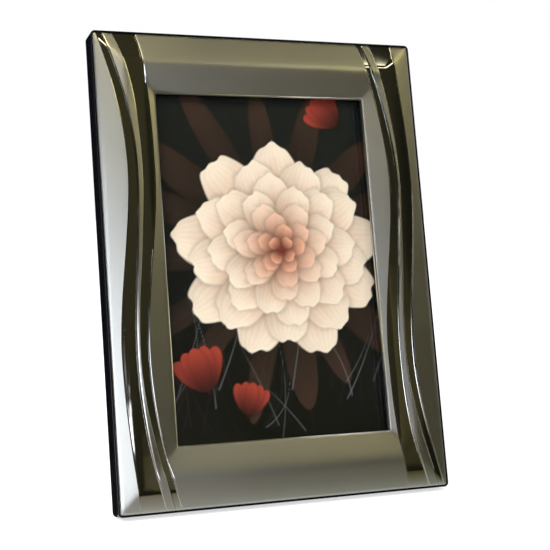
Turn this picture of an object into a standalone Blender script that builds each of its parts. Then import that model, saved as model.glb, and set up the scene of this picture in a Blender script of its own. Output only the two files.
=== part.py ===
"""A silver-plated photo frame that leans back on a folding easel leg.

A pressed metal sheet with a shallow cushion and two winding flutes down each side sits in the recess
of a black lacquered body. Behind it lie the glass, the print, a card and a velvet-covered back board,
held in by turn buttons. The leg hangs on a riveted hinge whose heel stops it when it is open.

Frame space, in which most pieces are modelled: X across, Y from the face towards the back, with 0 at
the front rim, and Z up the face, with 0 at the body's bottom edge. The frame_stand empty leans it back.
"""

import math

import bmesh
import bpy
from mathutils import Matrix, Vector

# Face sheet
FACE_WIDTH = 0.146
FACE_HEIGHT = 0.198
OPENING_WIDTH = 0.095
OPENING_HEIGHT = 0.147
SHEET = 0.00045
RIDGE_HEIGHT = 0.0022
RIDGE_SHARE = 0.5  # where the ridge runs, as a share of the border
RIDGE_SOFTNESS = 0.14
MITRE_SOFTNESS = 0.05
TURN_RADIUS = 0.0006  # of the rolled edges, outside and at the opening
CORNER_CUT = 0.0003

# Flutes
FLOOR_HEIGHT = 0.0010
FLOOR_BLEND = 0.0005
FLUTE_DIP = 0.0003  # least depth of a flute below the satin surface
WALL_RUN = 0.00045
CREST_DROP = 0.058  # from the start of a flute to where it lies furthest in
DIP_RISE = 0.062  # from the end of a flute back to where it lies furthest out

# Each flute edge, as shares of the border: its start, crest, dip and end, then its slope at start and end.
FLUTE_EDGES = (
    (0.051, 0.437, 0.173, 0.335, 0.28, 0.10),
    (0.157, 0.590, 0.412, 0.753, 0.31, 0.28),
    (0.325, 0.686, 0.462, 0.894, 0.40, 0.29),
    (0.706, 0.890, 0.606, 1.004, 0.22, 0.30),
)

# Body
LIP = 0.00075  # how far the body shows beyond the sheet
BODY_DEPTH = 0.010
BODY_CORNER = 0.002
FRONT_ROUND = 0.0002
BACK_CHAMFER = 0.0006
WEB_FRONT = 0.0012
WEB_BACK = 0.0030
GAP = 0.0003  # between pieces that touch

# What lies in the rebate
GLASS_WIDTH = 0.102
GLASS_HEIGHT = 0.152
GLASS = 0.0018
PANE_PLAY = 0.00075  # round the glass in the rebate
PRINT = 0.00025
PRINT_MARGIN = 0.0005
CARD = 0.0005
BOARD = 0.0025
BOARD_PLAY = 0.0004
VELVET = 0.0006
VELVET_MARGIN = 0.0003

# Turn buttons
BUTTON = 0.0008
BUTTON_WIDTH = 0.007
BUTTON_REACH = 0.0125  # from the screw to the tip
BUTTON_INSET = 0.007  # from the rebate's edge to the screw
SIDE_BUTTON_SPREAD = 0.048  # above and below the middle
SCREW_SHANK = 0.0010
SCREW_HEAD = 0.0025
SCREW_DOME = 0.0013
SCREW_LENGTH = 0.0060

# Easel leg
LEAN = math.radians(12)
OPEN_ANGLE = math.radians(25)
PIVOT_HEIGHT = 0.135
PIVOT_SETBACK = 0.0034  # from the body's back to the hinge pin
STRUT = 0.0024
STRUT_TOP = 0.030
STRUT_FOOT = 0.056
STRUT_TOP_DROP = 0.004  # from the pin to the leg's top edge
FOOT_CLEAR = 0.001  # from the floor up to the velvet

# Hinge
LEAF = 0.0008
EAR_SPAN = 0.022
EAR_RADIUS = 0.0026
LEAF_RISE = 0.024
LEAF_DROP = 0.024
CHEEK_GAP = 0.0004
CHEEK_RADIUS = 0.0020
HEEL_WIDTH = 0.012
PIN = 0.0010
PIN_HEAD = 0.0017
PIN_HEAD_LENGTH = 0.0007
RIVET = 0.0011
RIVET_HEAD = 0.0022
RIVET_DOME = 0.0009
RIVET_BITE = 0.0016  # into the board or the leg
BOARD_RIVET_SPREAD = 0.006
BOARD_RIVET_RISE = 0.018
STRUT_RIVET_DROPS = (0.0095, 0.0190)

# Facets
ROUND_STEPS = 14
CORNER_STEPS = 4
END_ROWS = 11
MIDDLE_ROWS = 20

# Worked out from the sizes above
BODY_WIDTH = FACE_WIDTH + 2 * LIP
BODY_HEIGHT = FACE_HEIGHT + 2 * LIP
MIDDLE_Z = BODY_HEIGHT / 2
SIDE_BORDER = (FACE_WIDTH - OPENING_WIDTH) / 2
END_BORDER = (FACE_HEIGHT - OPENING_HEIGHT) / 2
REBATE_WIDTH = GLASS_WIDTH + 2 * PANE_PLAY
REBATE_HEIGHT = GLASS_HEIGHT + 2 * PANE_PLAY
GLASS_Y = WEB_BACK + GAP
PRINT_Y = GLASS_Y + GLASS + GAP
CARD_Y = PRINT_Y + PRINT + GAP
BOARD_Y = CARD_Y + CARD + GAP
VELVET_Y = BOARD_Y + BOARD + GAP
VELVET_BACK = VELVET_Y + VELVET
HOLE_GAP = GAP
BUTTON_Y = BODY_DEPTH + GAP
LEAF_Y = VELVET_BACK + GAP
PIVOT_Y = BODY_DEPTH + PIVOT_SETBACK
PIN_HOLE = PIN + GAP
STRUT_LEAF_Y = PIN_HOLE  # the leg's leaf just clears the pin
STRUT_VELVET_Y = STRUT_LEAF_Y - GAP - VELVET
STRUT_Y = STRUT_VELVET_Y - GAP - STRUT
STAND_HEIGHT = (BODY_DEPTH - BACK_CHAMFER) * math.sin(LEAN)
FOOT_TILT = OPEN_ANGLE - LEAN
PIVOT_LIFT = STAND_HEIGHT - PIVOT_Y * math.sin(LEAN) + PIVOT_HEIGHT * math.cos(LEAN)


def clear_scene():
    for obj in list(bpy.data.objects):
        bpy.data.objects.remove(obj, do_unlink=True)


def finish(name, colour, roughness, metallic, alpha=1.0):
    """A plain material for one kind of sub-part."""
    mat = bpy.data.materials.new(name)
    mat.use_nodes = True
    shader = mat.node_tree.nodes["Principled BSDF"]
    shader.inputs["Base Color"].default_value = (*colour, 1.0)
    shader.inputs["Roughness"].default_value = roughness
    shader.inputs["Metallic"].default_value = metallic
    shader.inputs["Alpha"].default_value = alpha
    return mat


def empty(name, parent=None, location=(0, 0, 0), tilt=0.0):
    obj = bpy.data.objects.new(name, None)
    obj.location = location
    obj.rotation_euler = (tilt, 0, 0)
    obj.parent = parent
    bpy.context.scene.collection.objects.link(obj)
    return obj


def to_object(name, bm, mat, parent, smooth_below=35):
    """Turns a bmesh into a named object under its parent."""
    bmesh.ops.recalc_face_normals(bm, faces=bm.faces)
    mesh = bpy.data.meshes.new(name)
    bm.to_mesh(mesh)
    bm.free()
    mesh.shade_smooth()
    mesh.set_sharp_from_angle(angle=math.radians(smooth_below))
    obj = bpy.data.objects.new(name, mesh)
    obj.parent = parent
    if mat:
        mesh.materials.append(mat)
    bpy.context.scene.collection.objects.link(obj)
    return obj


def tool(name, bm, parent):
    """A helper solid for a Boolean, which isn't a piece."""
    obj = to_object(name, bm, None, parent)
    obj.hide_render = True
    obj.display_type = "WIRE"
    return obj


def boolean(obj, other, operation="DIFFERENCE"):
    modifier = obj.modifiers.new(other.name, "BOOLEAN")
    modifier.operation = operation
    modifier.solver = "EXACT"
    modifier.object = other


def extruded(outline, reach):
    """A closed solid: a flat outline of points pushed along the vector reach."""
    bm = bmesh.new()
    face = bm.faces.new([bm.verts.new(point) for point in outline])
    new = bmesh.ops.extrude_face_region(bm, geom=[face])["geom"]
    moved = [item for item in new if isinstance(item, bmesh.types.BMVert)]
    bmesh.ops.translate(bm, verts=moved, vec=reach)
    return bm


def rounded_rectangle(half_width, half_height, radius, steps=CORNER_STEPS):
    """Corner points of a rounded rectangle about the origin, anticlockwise, as (across, up) pairs."""
    points = []
    for quarter, (sx, sz) in enumerate(((1, 1), (-1, 1), (-1, -1), (1, -1))):
        for step in range(steps + 1):
            angle = math.pi / 2 * (quarter + step / steps)
            across = sx * (half_width - radius) + radius * math.cos(angle)
            up = sz * (half_height - radius) + radius * math.sin(angle)
            points.append((across, up))
    return points


def sheet_of(name, width, height, radius, front, thickness, mat, parent):
    """A flat rectangular piece that stands in the frame, its front face at Y = front."""
    points = rounded_rectangle(width / 2, height / 2, radius)
    outline = [(x, front, MIDDLE_Z + z) for x, z in points]
    return to_object(name, extruded(outline, (0, thickness, 0)), mat, parent)


def turned(profile, axis_point, axis):
    """Spins (radius, distance) points about an axis. The first and last lie on it."""
    axis = Vector(axis)
    side = axis.orthogonal().normalized()
    bm = bmesh.new()
    verts = [bm.verts.new(Vector(axis_point) + side * r + axis * h) for r, h in profile]
    edges = [bm.edges.new(pair) for pair in zip(verts, verts[1:])]
    bmesh.ops.spin(
        bm,
        geom=verts + edges,
        cent=axis_point,
        axis=axis,
        angle=2 * math.pi,
        steps=ROUND_STEPS,
        use_merge=True,
    )
    bmesh.ops.remove_doubles(bm, verts=bm.verts, dist=1e-6)
    return bm


def peg(radius, start, end):
    """A plain cylinder from one point to another."""
    start = Vector(start)
    reach = Vector(end) - start
    length = reach.length
    profile = ((0, 0), (radius, 0), (radius, length), (0, length))
    return turned(profile, start, reach / length)


def dome(radius, height, base, steps=3):
    """Points of a domed head, from its rim at the base to its top on the axis."""
    turns = [math.pi / 2 * step / steps for step in range(steps + 1)]
    return [(radius * math.cos(t), base + height * math.sin(t)) for t in turns[:-1]] + [(0, base + height)]


def smooth_min(a, b, softness):
    return (a + b - math.sqrt((a - b) ** 2 + softness**2)) / 2


def hermite(t, length, start, end, start_slope, end_slope):
    """A cubic from start to end over a length, with the slopes given at both."""
    t2 = t * t
    t3 = t2 * t
    ends = (2 * t3 - 3 * t2 + 1) * start + (3 * t2 - 2 * t3) * end
    return ends + length * ((t3 - 2 * t2 + t) * start_slope + (t3 - t2) * end_slope)


def flute_edge(edge, drop):
    """Distance of a flute edge from the sheet's outer edge, at this drop from the flute's start."""
    start, crest, dip, end, start_slope, end_slope = edge
    start, crest, dip, end = (share * SIDE_BORDER for share in (start, crest, dip, end))
    dip_drop = FACE_HEIGHT - DIP_RISE
    if drop < CREST_DROP:
        return hermite(drop / CREST_DROP, CREST_DROP, start, crest, start_slope, 0)
    if drop < dip_drop:
        length = dip_drop - CREST_DROP
        return hermite((drop - CREST_DROP) / length, length, crest, dip, 0, 0)
    return hermite((drop - dip_drop) / DIP_RISE, DIP_RISE, dip, end, 0, end_slope)


def cushion(share):
    """Height of the satin surface at a share of the way from the outer edge to the opening."""
    reach = RIDGE_SHARE if share < RIDGE_SHARE else 1 - RIDGE_SHARE
    t = (share - RIDGE_SHARE) / reach
    fall = math.sqrt(t * t + RIDGE_SOFTNESS**2) - RIDGE_SOFTNESS
    return RIDGE_HEIGHT * (1 - fall / (math.sqrt(1 + RIDGE_SOFTNESS**2) - RIDGE_SOFTNESS))


def relief(x, z, in_flute):
    """Height of the sheet's front at a place on the face, measured from its centre."""
    across = (FACE_WIDTH / 2 - abs(x)) / SIDE_BORDER
    up = (FACE_HEIGHT / 2 - abs(z)) / END_BORDER
    share = max(smooth_min(across, up, MITRE_SOFTNESS), 0)
    satin = cushion(share)
    if not in_flute:
        return satin
    rim_share = TURN_RADIUS / SIDE_BORDER
    dip = FLUTE_DIP * min(max((share - rim_share) / (2 * rim_share), 0), 1)
    return smooth_min(FLOOR_HEIGHT, satin - dip, FLOOR_BLEND * dip / FLUTE_DIP)


def stile_columns(drop):
    """Where the sheet's columns cross a side, from the outer edge in, and whether each lies in a flute."""
    a, b, c, d = (flute_edge(edge, drop) for edge in FLUTE_EDGES)
    half = WALL_RUN / 2
    past_corner = max(END_BORDER - drop, drop - (FACE_HEIGHT - END_BORDER), 0) / END_BORDER
    last = SIDE_BORDER * (1 + 0.25 * past_corner) - TURN_RADIUS
    return [
        (TURN_RADIUS, False),
        ((TURN_RADIUS + a - half) / 2, False),
        (a - half, False),
        (a + half, True),
        ((a + b) / 2, True),
        (b - half, True),
        (b + half, False),
        (c - half, False),
        (c + half, True),
        ((c + d) / 2, True),
        (d - half, True),
        (d + half, False),
        ((d + half) * 0.6 + last * 0.4, False),
        (last, False),
    ]


def row_heights():
    """Where the sheet's rows lie, from its bottom edge up, closer together at both ends."""
    inner = END_BORDER - TURN_RADIUS
    ends = [TURN_RADIUS + (inner - TURN_RADIUS) * row / END_ROWS for row in range(END_ROWS + 1)]
    middle = FACE_HEIGHT - 2 * inner
    rows = ends + [inner + middle * row / MIDDLE_ROWS for row in range(1, MIDDLE_ROWS)]
    return rows + [FACE_HEIGHT - end for end in reversed(ends)]


def boundary_loops(bm):
    """The sheet's open edges, as the outer loop and the loop round the opening."""
    open_edges = [edge for edge in bm.edges if edge.is_boundary]
    outer = []
    inner = []
    for edge in open_edges:
        middle = (edge.verts[0].co + edge.verts[1].co) / 2
        at_side = abs(middle.x) > FACE_WIDTH / 2 - SIDE_BORDER / 2
        at_end = abs(middle.z - MIDDLE_Z) > FACE_HEIGHT / 2 - END_BORDER / 2
        (outer if at_side or at_end else inner).append(edge)
    return outer, inner


def roll_back(bm, edges, half_width, half_height, outward, depth):
    """Turns an open edge of the sheet round a small radius and runs it straight back to a depth."""
    start_width = half_width - outward * TURN_RADIUS
    start_height = half_height - outward * TURN_RADIUS
    quarter = math.pi / 4
    steps = (
        (TURN_RADIUS * math.sin(quarter), TURN_RADIUS * (1 - math.cos(quarter))),
        (TURN_RADIUS, TURN_RADIUS),
        (TURN_RADIUS, depth),
    )
    for shift, back in steps:
        new = bmesh.ops.extrude_edge_only(bm, edges=edges)["geom"]
        edges = [item for item in new if isinstance(item, bmesh.types.BMEdge)]
        for vert in {vert for edge in edges for vert in edge.verts}:
            x = vert.co.x
            z = vert.co.z - MIDDLE_Z
            at_side = abs(x) >= start_width - 1e-6 if outward > 0 else abs(x) <= start_width + 1e-6
            at_end = abs(z) >= start_height - 1e-6 if outward > 0 else abs(z) <= start_height + 1e-6
            cut = CORNER_CUT * shift / TURN_RADIUS if at_side and at_end and outward > 0 else 0
            if at_side:
                vert.co.x = math.copysign(start_width + outward * shift - cut, x)
            if at_end:
                vert.co.z = MIDDLE_Z + math.copysign(start_height + outward * shift - cut, z)
            vert.co.y = back
    return edges


def face_panel(mat, parent):
    """The pressed sheet: a cushion with winding flutes, its edges rolled back."""
    rows = row_heights()
    left_count = len(stile_columns(0))
    column_count = 2 * left_count + 2
    bm = bmesh.new()
    bmesh.ops.create_grid(bm, x_segments=column_count - 1, y_segments=len(rows) - 1, size=0.5)
    grid = {}
    for vert in bm.verts:
        column = round((vert.co.x + 0.5) * (column_count - 1))
        row = round((vert.co.y + 0.5) * (len(rows) - 1))
        grid[vert] = (column, row)
    for vert, (column, row) in grid.items():
        up = rows[row]
        # The right side is the left side turned half round, so its flutes start at the bottom.
        left = stile_columns(FACE_HEIGHT - up)
        right = stile_columns(up)
        if column < left_count:
            inset, in_flute = left[column]
            x = inset - FACE_WIDTH / 2
        elif column >= column_count - left_count:
            inset, in_flute = right[column_count - 1 - column]
            x = FACE_WIDTH / 2 - inset
        else:
            in_flute = False
            side = -1 if column == left_count else 1
            x = side * OPENING_WIDTH * 0.36
        z = up - FACE_HEIGHT / 2
        vert.co = (x, -relief(x, z, in_flute), MIDDLE_Z + z)
    opening = [
        face
        for face in bm.faces
        if all(left_count - 1 <= grid[v][0] <= column_count - left_count for v in face.verts)
        and all(END_ROWS <= grid[v][1] <= END_ROWS + MIDDLE_ROWS for v in face.verts)
    ]
    bmesh.ops.delete(bm, geom=opening, context="FACES")
    outer, inner = boundary_loops(bm)
    roll_back(bm, outer, FACE_WIDTH / 2, FACE_HEIGHT / 2, 1, WEB_FRONT - GAP)
    roll_back(bm, inner, OPENING_WIDTH / 2, OPENING_HEIGHT / 2, -1, WEB_BACK)
    for face in bm.faces:
        face.normal_update()
    obj = to_object("face_panel", bm, mat, parent, smooth_below=30)
    solidify = obj.modifiers.new("sheet", "SOLIDIFY")
    solidify.thickness = SHEET
    solidify.offset = -1
    return obj


def body_frame(mat, parent):
    """The lacquered body: a front lip and recess for the sheet, a web, and a rebate behind it."""
    recess = LIP - GAP  # width of the lip round the recess
    web_gap = SHEET + GAP  # beyond the opening's rolled edge
    half_width = BODY_WIDTH / 2
    half_height = BODY_HEIGHT / 2
    lip_x = half_width - recess
    lip_z = half_height - recess
    web_x = OPENING_WIDTH / 2 + web_gap
    web_z = OPENING_HEIGHT / 2 + web_gap
    sharp = 0.0002
    recess_round = BODY_CORNER - recess
    profile = (
        (half_width - FRONT_ROUND, half_height - FRONT_ROUND, BODY_CORNER - FRONT_ROUND, 0),
        (half_width, half_height, BODY_CORNER, FRONT_ROUND),
        (half_width, half_height, BODY_CORNER, BODY_DEPTH - BACK_CHAMFER),
        (half_width - BACK_CHAMFER, half_height - BACK_CHAMFER, BODY_CORNER - BACK_CHAMFER, BODY_DEPTH),
        (REBATE_WIDTH / 2, REBATE_HEIGHT / 2, sharp, BODY_DEPTH),
        (REBATE_WIDTH / 2, REBATE_HEIGHT / 2, sharp, WEB_BACK),
        (web_x, web_z, sharp, WEB_BACK),
        (web_x, web_z, sharp, WEB_FRONT),
        (lip_x, lip_z, recess_round, WEB_FRONT),
        (lip_x, lip_z, recess_round, 0),
    )
    bm = bmesh.new()
    loops = []
    for x, z, radius, y in profile:
        points = rounded_rectangle(x, z, radius)
        loops.append([bm.verts.new((px, y, MIDDLE_Z + pz)) for px, pz in points])
    for first, second in zip(loops, loops[1:] + loops[:1]):
        for i, vert in enumerate(first):
            after = (i + 1) % len(first)
            bm.faces.new((vert, first[after], second[after], second[i]))
    return to_object("body_frame", bm, mat, parent)


def button_places():
    """Screw position and turn of each button, on the body's back. At turn 0 it reaches down."""
    side = REBATE_WIDTH / 2 + BUTTON_INSET
    top = MIDDLE_Z + REBATE_HEIGHT / 2 + BUTTON_INSET
    high = MIDDLE_Z + SIDE_BUTTON_SPREAD
    low = MIDDLE_Z - SIDE_BUTTON_SPREAD
    quarter = math.pi / 2
    return (
        (-side, high, -quarter),
        (-side, low, -quarter),
        (side, high, quarter),
        (side, low, quarter),
        (0, top, 0),
    )


def turn_button(number, x, z, turn, mat, parent):
    """A flat stamped tab that turns on its screw. Its origin is on the screw's axis."""
    radius = BUTTON_WIDTH / 2
    reach = BUTTON_REACH - radius
    steps = 6
    outline = []
    for step in range(steps + 1):
        angle = math.pi * step / steps
        outline.append((radius * math.cos(angle), 0, radius * math.sin(angle)))
    for step in range(steps + 1):
        angle = math.pi * (1 + step / steps)
        outline.append((radius * math.cos(angle), 0, radius * math.sin(angle) - reach))
    bm = extruded(outline, (0, BUTTON, 0))
    obj = to_object(f"turn_button_{number}", bm, mat, parent)
    hole = tool(f"turn_button_{number}_hole", peg(SCREW_SHANK + HOLE_GAP, (0, -0.001, 0), (0, 0.002, 0)), obj)
    boolean(obj, hole)
    bevel = obj.modifiers.new("edge", "BEVEL")
    bevel.width = 0.00015
    bevel.segments = 1
    bevel.limit_method = "ANGLE"
    obj.location = (x, BUTTON_Y, z)
    obj.rotation_euler = (0, turn, 0)
    return obj


def screw(number, x, z, mat, parent):
    """A domed wood screw through a turn button."""
    head_base = BUTTON_Y + BUTTON + GAP
    tip = head_base - SCREW_LENGTH
    shank = [(0, tip), (SCREW_SHANK * 0.4, tip), (SCREW_SHANK, tip + 0.0012), (SCREW_SHANK, head_base)]
    profile = shank + dome(SCREW_HEAD, SCREW_DOME, head_base)
    return to_object(f"button_screw_{number}", turned(profile, (x, 0, z), (0, 1, 0)), mat, parent)


def screw_hole(number, x, z, body, parent):
    """The blind hole in the body that a button's screw goes into."""
    depth = BUTTON_Y + BUTTON + GAP - SCREW_LENGTH - GAP
    bm = peg(SCREW_SHANK + HOLE_GAP, (x, depth, z), (x, BODY_DEPTH + 0.001, z))
    boolean(body, tool(f"screw_hole_{number}", bm, parent))


def ear_outline(x, radius, root_y, lean_side):
    """Side view of a hinge ear: straight sides from its root, round about the pin."""
    points = [(x, root_y, -radius), (x, root_y, radius)]
    steps = 8
    for step in range(steps + 1):
        angle = math.pi * (0.5 - step / steps)
        points.append((x, lean_side * radius * math.cos(angle), radius * math.sin(angle)))
    return points


def leaf_outline(half_width, bottom, top, y, round_top=0.003):
    """Front view of a leaf, with its top corners cut."""
    return [
        (-half_width, y, bottom),
        (half_width, y, bottom),
        (half_width, y, top - round_top),
        (half_width - round_top, y, top),
        (-half_width + round_top, y, top),
        (-half_width, y, top - round_top),
    ]


def board_leaf(mat, pivot):
    """The hinge plate on the back board: a plate with two ears that hold the pin."""
    front = LEAF_Y - PIVOT_Y
    bm = extruded(leaf_outline(EAR_SPAN / 2, -EAR_RADIUS, LEAF_RISE, front), (0, LEAF, 0))
    leaf = to_object("board_leaf", bm, mat, pivot)
    for side in (-1, 1):
        x = side * EAR_SPAN / 2
        ear = extruded(ear_outline(x, EAR_RADIUS, front + LEAF / 2, 1), (-side * LEAF, 0, 0))
        boolean(leaf, tool(f"ear_{'left' if side < 0 else 'right'}", ear, pivot), "UNION")
    reach = EAR_SPAN
    boolean(leaf, tool("ear_bore", peg(PIN_HOLE, (-reach, 0, 0), (reach, 0, 0)), pivot))
    for number, x in enumerate((-BOARD_RIVET_SPREAD, BOARD_RIVET_SPREAD), 1):
        hole = peg(RIVET + HOLE_GAP, (x, front - 0.002, BOARD_RIVET_RISE), (x, front + 0.002, BOARD_RIVET_RISE))
        boolean(leaf, tool(f"leaf_hole_{number}", hole, pivot))
    return leaf


def heel_rise():
    """How far the leg's leaf reaches above the pin, so that its heel meets the board leaf when open."""
    wall = LEAF_Y + LEAF + GAP - PIVOT_Y
    return (STRUT_LEAF_Y * math.cos(OPEN_ANGLE) - wall) / math.sin(OPEN_ANGLE)


def strut_leaf(mat, pivot):
    """The leg's hinge plate: a channel round the pin, with a heel above it that stops the leg."""
    half_width = EAR_SPAN / 2 - LEAF - CHEEK_GAP
    y = STRUT_LEAF_Y
    rise = heel_rise()
    outline = [
        (-half_width, y, -LEAF_DROP),
        (half_width, y, -LEAF_DROP),
        (half_width, y, CHEEK_RADIUS),
        (HEEL_WIDTH / 2, y, CHEEK_RADIUS),
        (HEEL_WIDTH / 2, y, rise),
        (-HEEL_WIDTH / 2, y, rise),
        (-HEEL_WIDTH / 2, y, CHEEK_RADIUS),
        (-half_width, y, CHEEK_RADIUS),
    ]
    leaf = to_object("strut_leaf", extruded(outline, (0, LEAF, 0)), mat, pivot)
    for side in (-1, 1):
        x = side * half_width
        cheek = extruded(ear_outline(x, CHEEK_RADIUS, y + LEAF / 2, -1), (-side * LEAF, 0, 0))
        boolean(leaf, tool(f"cheek_{'left' if side < 0 else 'right'}", cheek, pivot), "UNION")
    boolean(leaf, tool("cheek_bore", peg(PIN_HOLE, (-EAR_SPAN, 0, 0), (EAR_SPAN, 0, 0)), pivot))
    for number, drop in enumerate(STRUT_RIVET_DROPS, 1):
        hole = peg(RIVET + HOLE_GAP, (0, y - 0.002, -drop), (0, y + 0.002, -drop))
        boolean(leaf, tool(f"strut_leaf_hole_{number}", hole, pivot))
    return leaf


def hinge_pin(mat, pivot):
    """The pin through ears and cheeks, with a head at each end."""
    inner = EAR_SPAN / 2 + GAP
    outer = inner + PIN_HEAD_LENGTH
    profile = (
        (0, -outer),
        (PIN_HEAD * 0.8, -outer),
        (PIN_HEAD, -outer + PIN_HEAD_LENGTH / 3),
        (PIN_HEAD, -inner),
        (PIN, -inner),
        (PIN, inner),
        (PIN_HEAD, inner),
        (PIN_HEAD, outer - PIN_HEAD_LENGTH / 3),
        (PIN_HEAD * 0.8, outer),
        (0, outer),
    )
    return to_object("hinge_pin", turned(profile, (0, 0, 0), (1, 0, 0)), mat, pivot)


def rivet(name, x, z, leaf_back, stack, mat, parent):
    """A domed rivet that holds a leaf to what lies in front of it, a stack of skins thick."""
    head_base = leaf_back + GAP
    tip = leaf_back - LEAF - stack - RIVET_BITE
    profile = [(0, tip), (RIVET, tip), (RIVET, head_base)] + dome(RIVET_HEAD, RIVET_DOME, head_base)
    return to_object(name, turned(profile, (x, 0, z), (0, 1, 0)), mat, parent)


def rivet_hole(name, x, z, front, back, pieces, parent):
    """One straight hole for a rivet, cut through or into each piece."""
    hole = tool(name, peg(RIVET + HOLE_GAP, (x, front, z), (x, back, z)), parent)
    for piece in pieces:
        boolean(piece, hole)


def foot_drop(y, lift=0.0):
    """How far below the pin the leg ends at depth y, so that it stands flat when open."""
    return (PIVOT_LIFT - lift + y * math.sin(FOOT_TILT)) / math.cos(FOOT_TILT)


def leg_board(name, front, thickness, top_drop, margin, lift, mat, pivot):
    """A tapered board hanging from the pin, its foot cut to lie level when the leg is open."""
    bm = bmesh.new()
    corner = 0.004
    layers = []
    for y in (front, front + thickness):
        drop = foot_drop(y, lift)
        slope = (STRUT_FOOT - STRUT_TOP) / 2 / (foot_drop(0) - STRUT_TOP_DROP)
        foot = STRUT_TOP / 2 + slope * (drop - STRUT_TOP_DROP) - margin
        top = STRUT_TOP / 2 + slope * (top_drop + corner - STRUT_TOP_DROP) - margin
        shape = (
            (foot, -drop),
            (top, -top_drop - corner),
            (top - corner * 0.3, -top_drop - corner * 0.3),
            (top - corner, -top_drop),
        )
        points = list(shape) + [(-x, z) for x, z in reversed(shape)]
        layers.append([bm.verts.new((x, y, z)) for x, z in points])
    front_loop, back_loop = layers
    bm.faces.new(front_loop)
    bm.faces.new(reversed(back_loop))
    for i, vert in enumerate(front_loop):
        after = (i + 1) % len(front_loop)
        bm.faces.new((vert, front_loop[after], back_loop[after], back_loop[i]))
    return to_object(name, bm, mat, pivot)


def centre_over_origin(stand):
    """Shifts the whole frame in depth so that the origin is midway between its front and its foot."""
    bpy.context.view_layer.update()
    graph = bpy.context.evaluated_depsgraph_get()
    depths = []
    for obj in bpy.context.scene.objects:
        if obj.type == "MESH" and not obj.hide_render:
            world = obj.matrix_world
            mesh = obj.evaluated_get(graph).to_mesh()
            depths += [(world @ vert.co).y for vert in mesh.vertices]
    stand.location.y -= (min(depths) + max(depths)) / 2
    bpy.context.view_layer.update()


def main():
    clear_scene()
    silver = finish("silver_plate", (0.80, 0.79, 0.75), 0.28, 1.0)
    lacquer = finish("black_lacquer", (0.006, 0.006, 0.008), 0.18, 0.0)
    glass = finish("clear_glass", (0.92, 0.95, 0.94), 0.02, 0.0, 0.35)
    photo_paper = finish("photo_paper", (0.20, 0.08, 0.06), 0.25, 0.0)
    card = finish("grey_card", (0.42, 0.40, 0.36), 0.8, 0.0)
    fibreboard = finish("fibreboard", (0.24, 0.15, 0.09), 0.75, 0.0)
    velvet = finish("black_velvet", (0.010, 0.010, 0.014), 0.95, 0.0)
    brass = finish("brass_plate", (0.72, 0.55, 0.25), 0.3, 1.0)
    steel = finish("plated_steel", (0.62, 0.62, 0.62), 0.3, 1.0)

    stand = empty("frame_stand", None, (0, 0, STAND_HEIGHT), -LEAN)
    hinge = empty("hinge_line", stand, (0, PIVOT_Y, PIVOT_HEIGHT))
    swing = empty("strut_swing", hinge, (0, 0, 0), OPEN_ANGLE)

    face_panel(silver, stand)
    body = body_frame(lacquer, stand)
    sheet_of("glass_pane", GLASS_WIDTH, GLASS_HEIGHT, 0.0005, GLASS_Y, GLASS, glass, stand)
    print_width = GLASS_WIDTH - 2 * PRINT_MARGIN
    print_height = GLASS_HEIGHT - 2 * PRINT_MARGIN
    sheet_of("photo_print", print_width, print_height, 0.0003, PRINT_Y, PRINT, photo_paper, stand)
    sheet_of("backing_card", print_width, print_height, 0.0003, CARD_Y, CARD, card, stand)
    board_width = REBATE_WIDTH - 2 * BOARD_PLAY
    board_height = REBATE_HEIGHT - 2 * BOARD_PLAY
    board = sheet_of("back_board", board_width, board_height, 0.001, BOARD_Y, BOARD, fibreboard, stand)
    skin_width = board_width - 2 * VELVET_MARGIN
    skin_height = board_height - 2 * VELVET_MARGIN
    skin = sheet_of("back_velvet", skin_width, skin_height, 0.001, VELVET_Y, VELVET, velvet, stand)

    for number, (x, z, turn) in enumerate(button_places(), 1):
        turn_button(number, x, z, turn, brass, stand)
        screw(number, x, z, brass, stand)
        screw_hole(number, x, z, body, stand)

    board_leaf(steel, hinge)
    hinge_pin(steel, hinge)
    leaf_back = LEAF_Y + LEAF
    rivet_z = PIVOT_HEIGHT + BOARD_RIVET_RISE
    for side, x in (("left", -BOARD_RIVET_SPREAD), ("right", BOARD_RIVET_SPREAD)):
        stack = VELVET + 2 * GAP
        rivet(f"board_rivet_{side}", x, rivet_z, leaf_back, stack, steel, stand)
        tip = leaf_back - LEAF - stack - RIVET_BITE - GAP
        rivet_hole(f"board_rivet_hole_{side}", x, rivet_z, tip, leaf_back, (board, skin), stand)

    leg = leg_board("strut", STRUT_Y, STRUT, STRUT_TOP_DROP, 0, 0, fibreboard, swing)
    skin_drop = STRUT_TOP_DROP + VELVET_MARGIN
    leg_skin = leg_board(
        "strut_velvet", STRUT_VELVET_Y, VELVET, skin_drop, VELVET_MARGIN, FOOT_CLEAR, velvet, swing
    )
    strut_leaf(steel, swing)
    leaf_back = STRUT_LEAF_Y + LEAF
    for level, drop in zip(("upper", "lower"), STRUT_RIVET_DROPS):
        stack = VELVET + 2 * GAP
        rivet(f"strut_rivet_{level}", 0, -drop, leaf_back, stack, steel, swing)
        tip = leaf_back - LEAF - stack - RIVET_BITE - GAP
        rivet_hole(f"strut_rivet_hole_{level}", 0, -drop, tip, leaf_back, (leg, leg_skin), swing)

    centre_over_origin(stand)


main()
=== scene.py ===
"""The looks of a silver-plated photo frame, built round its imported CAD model.

The pressed sheet, the lacquered body, the print, the velvet skins, the turn buttons, the leg and the hinge
are modelled again with finer shapes, each in the place of its CAD node and riding on the same body. The
glass, the card and the back board keep their CAD shapes and get new finishes.

Frame space is the part's own: X across, Y from the face towards the back with 0 at the front rim, and Z
up the face from the body's bottom edge. The matrix STAND leans it back into the row frame.
"""

import math

import bmesh
import bpy
import numpy as np
from mathutils import Matrix, Vector


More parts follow.
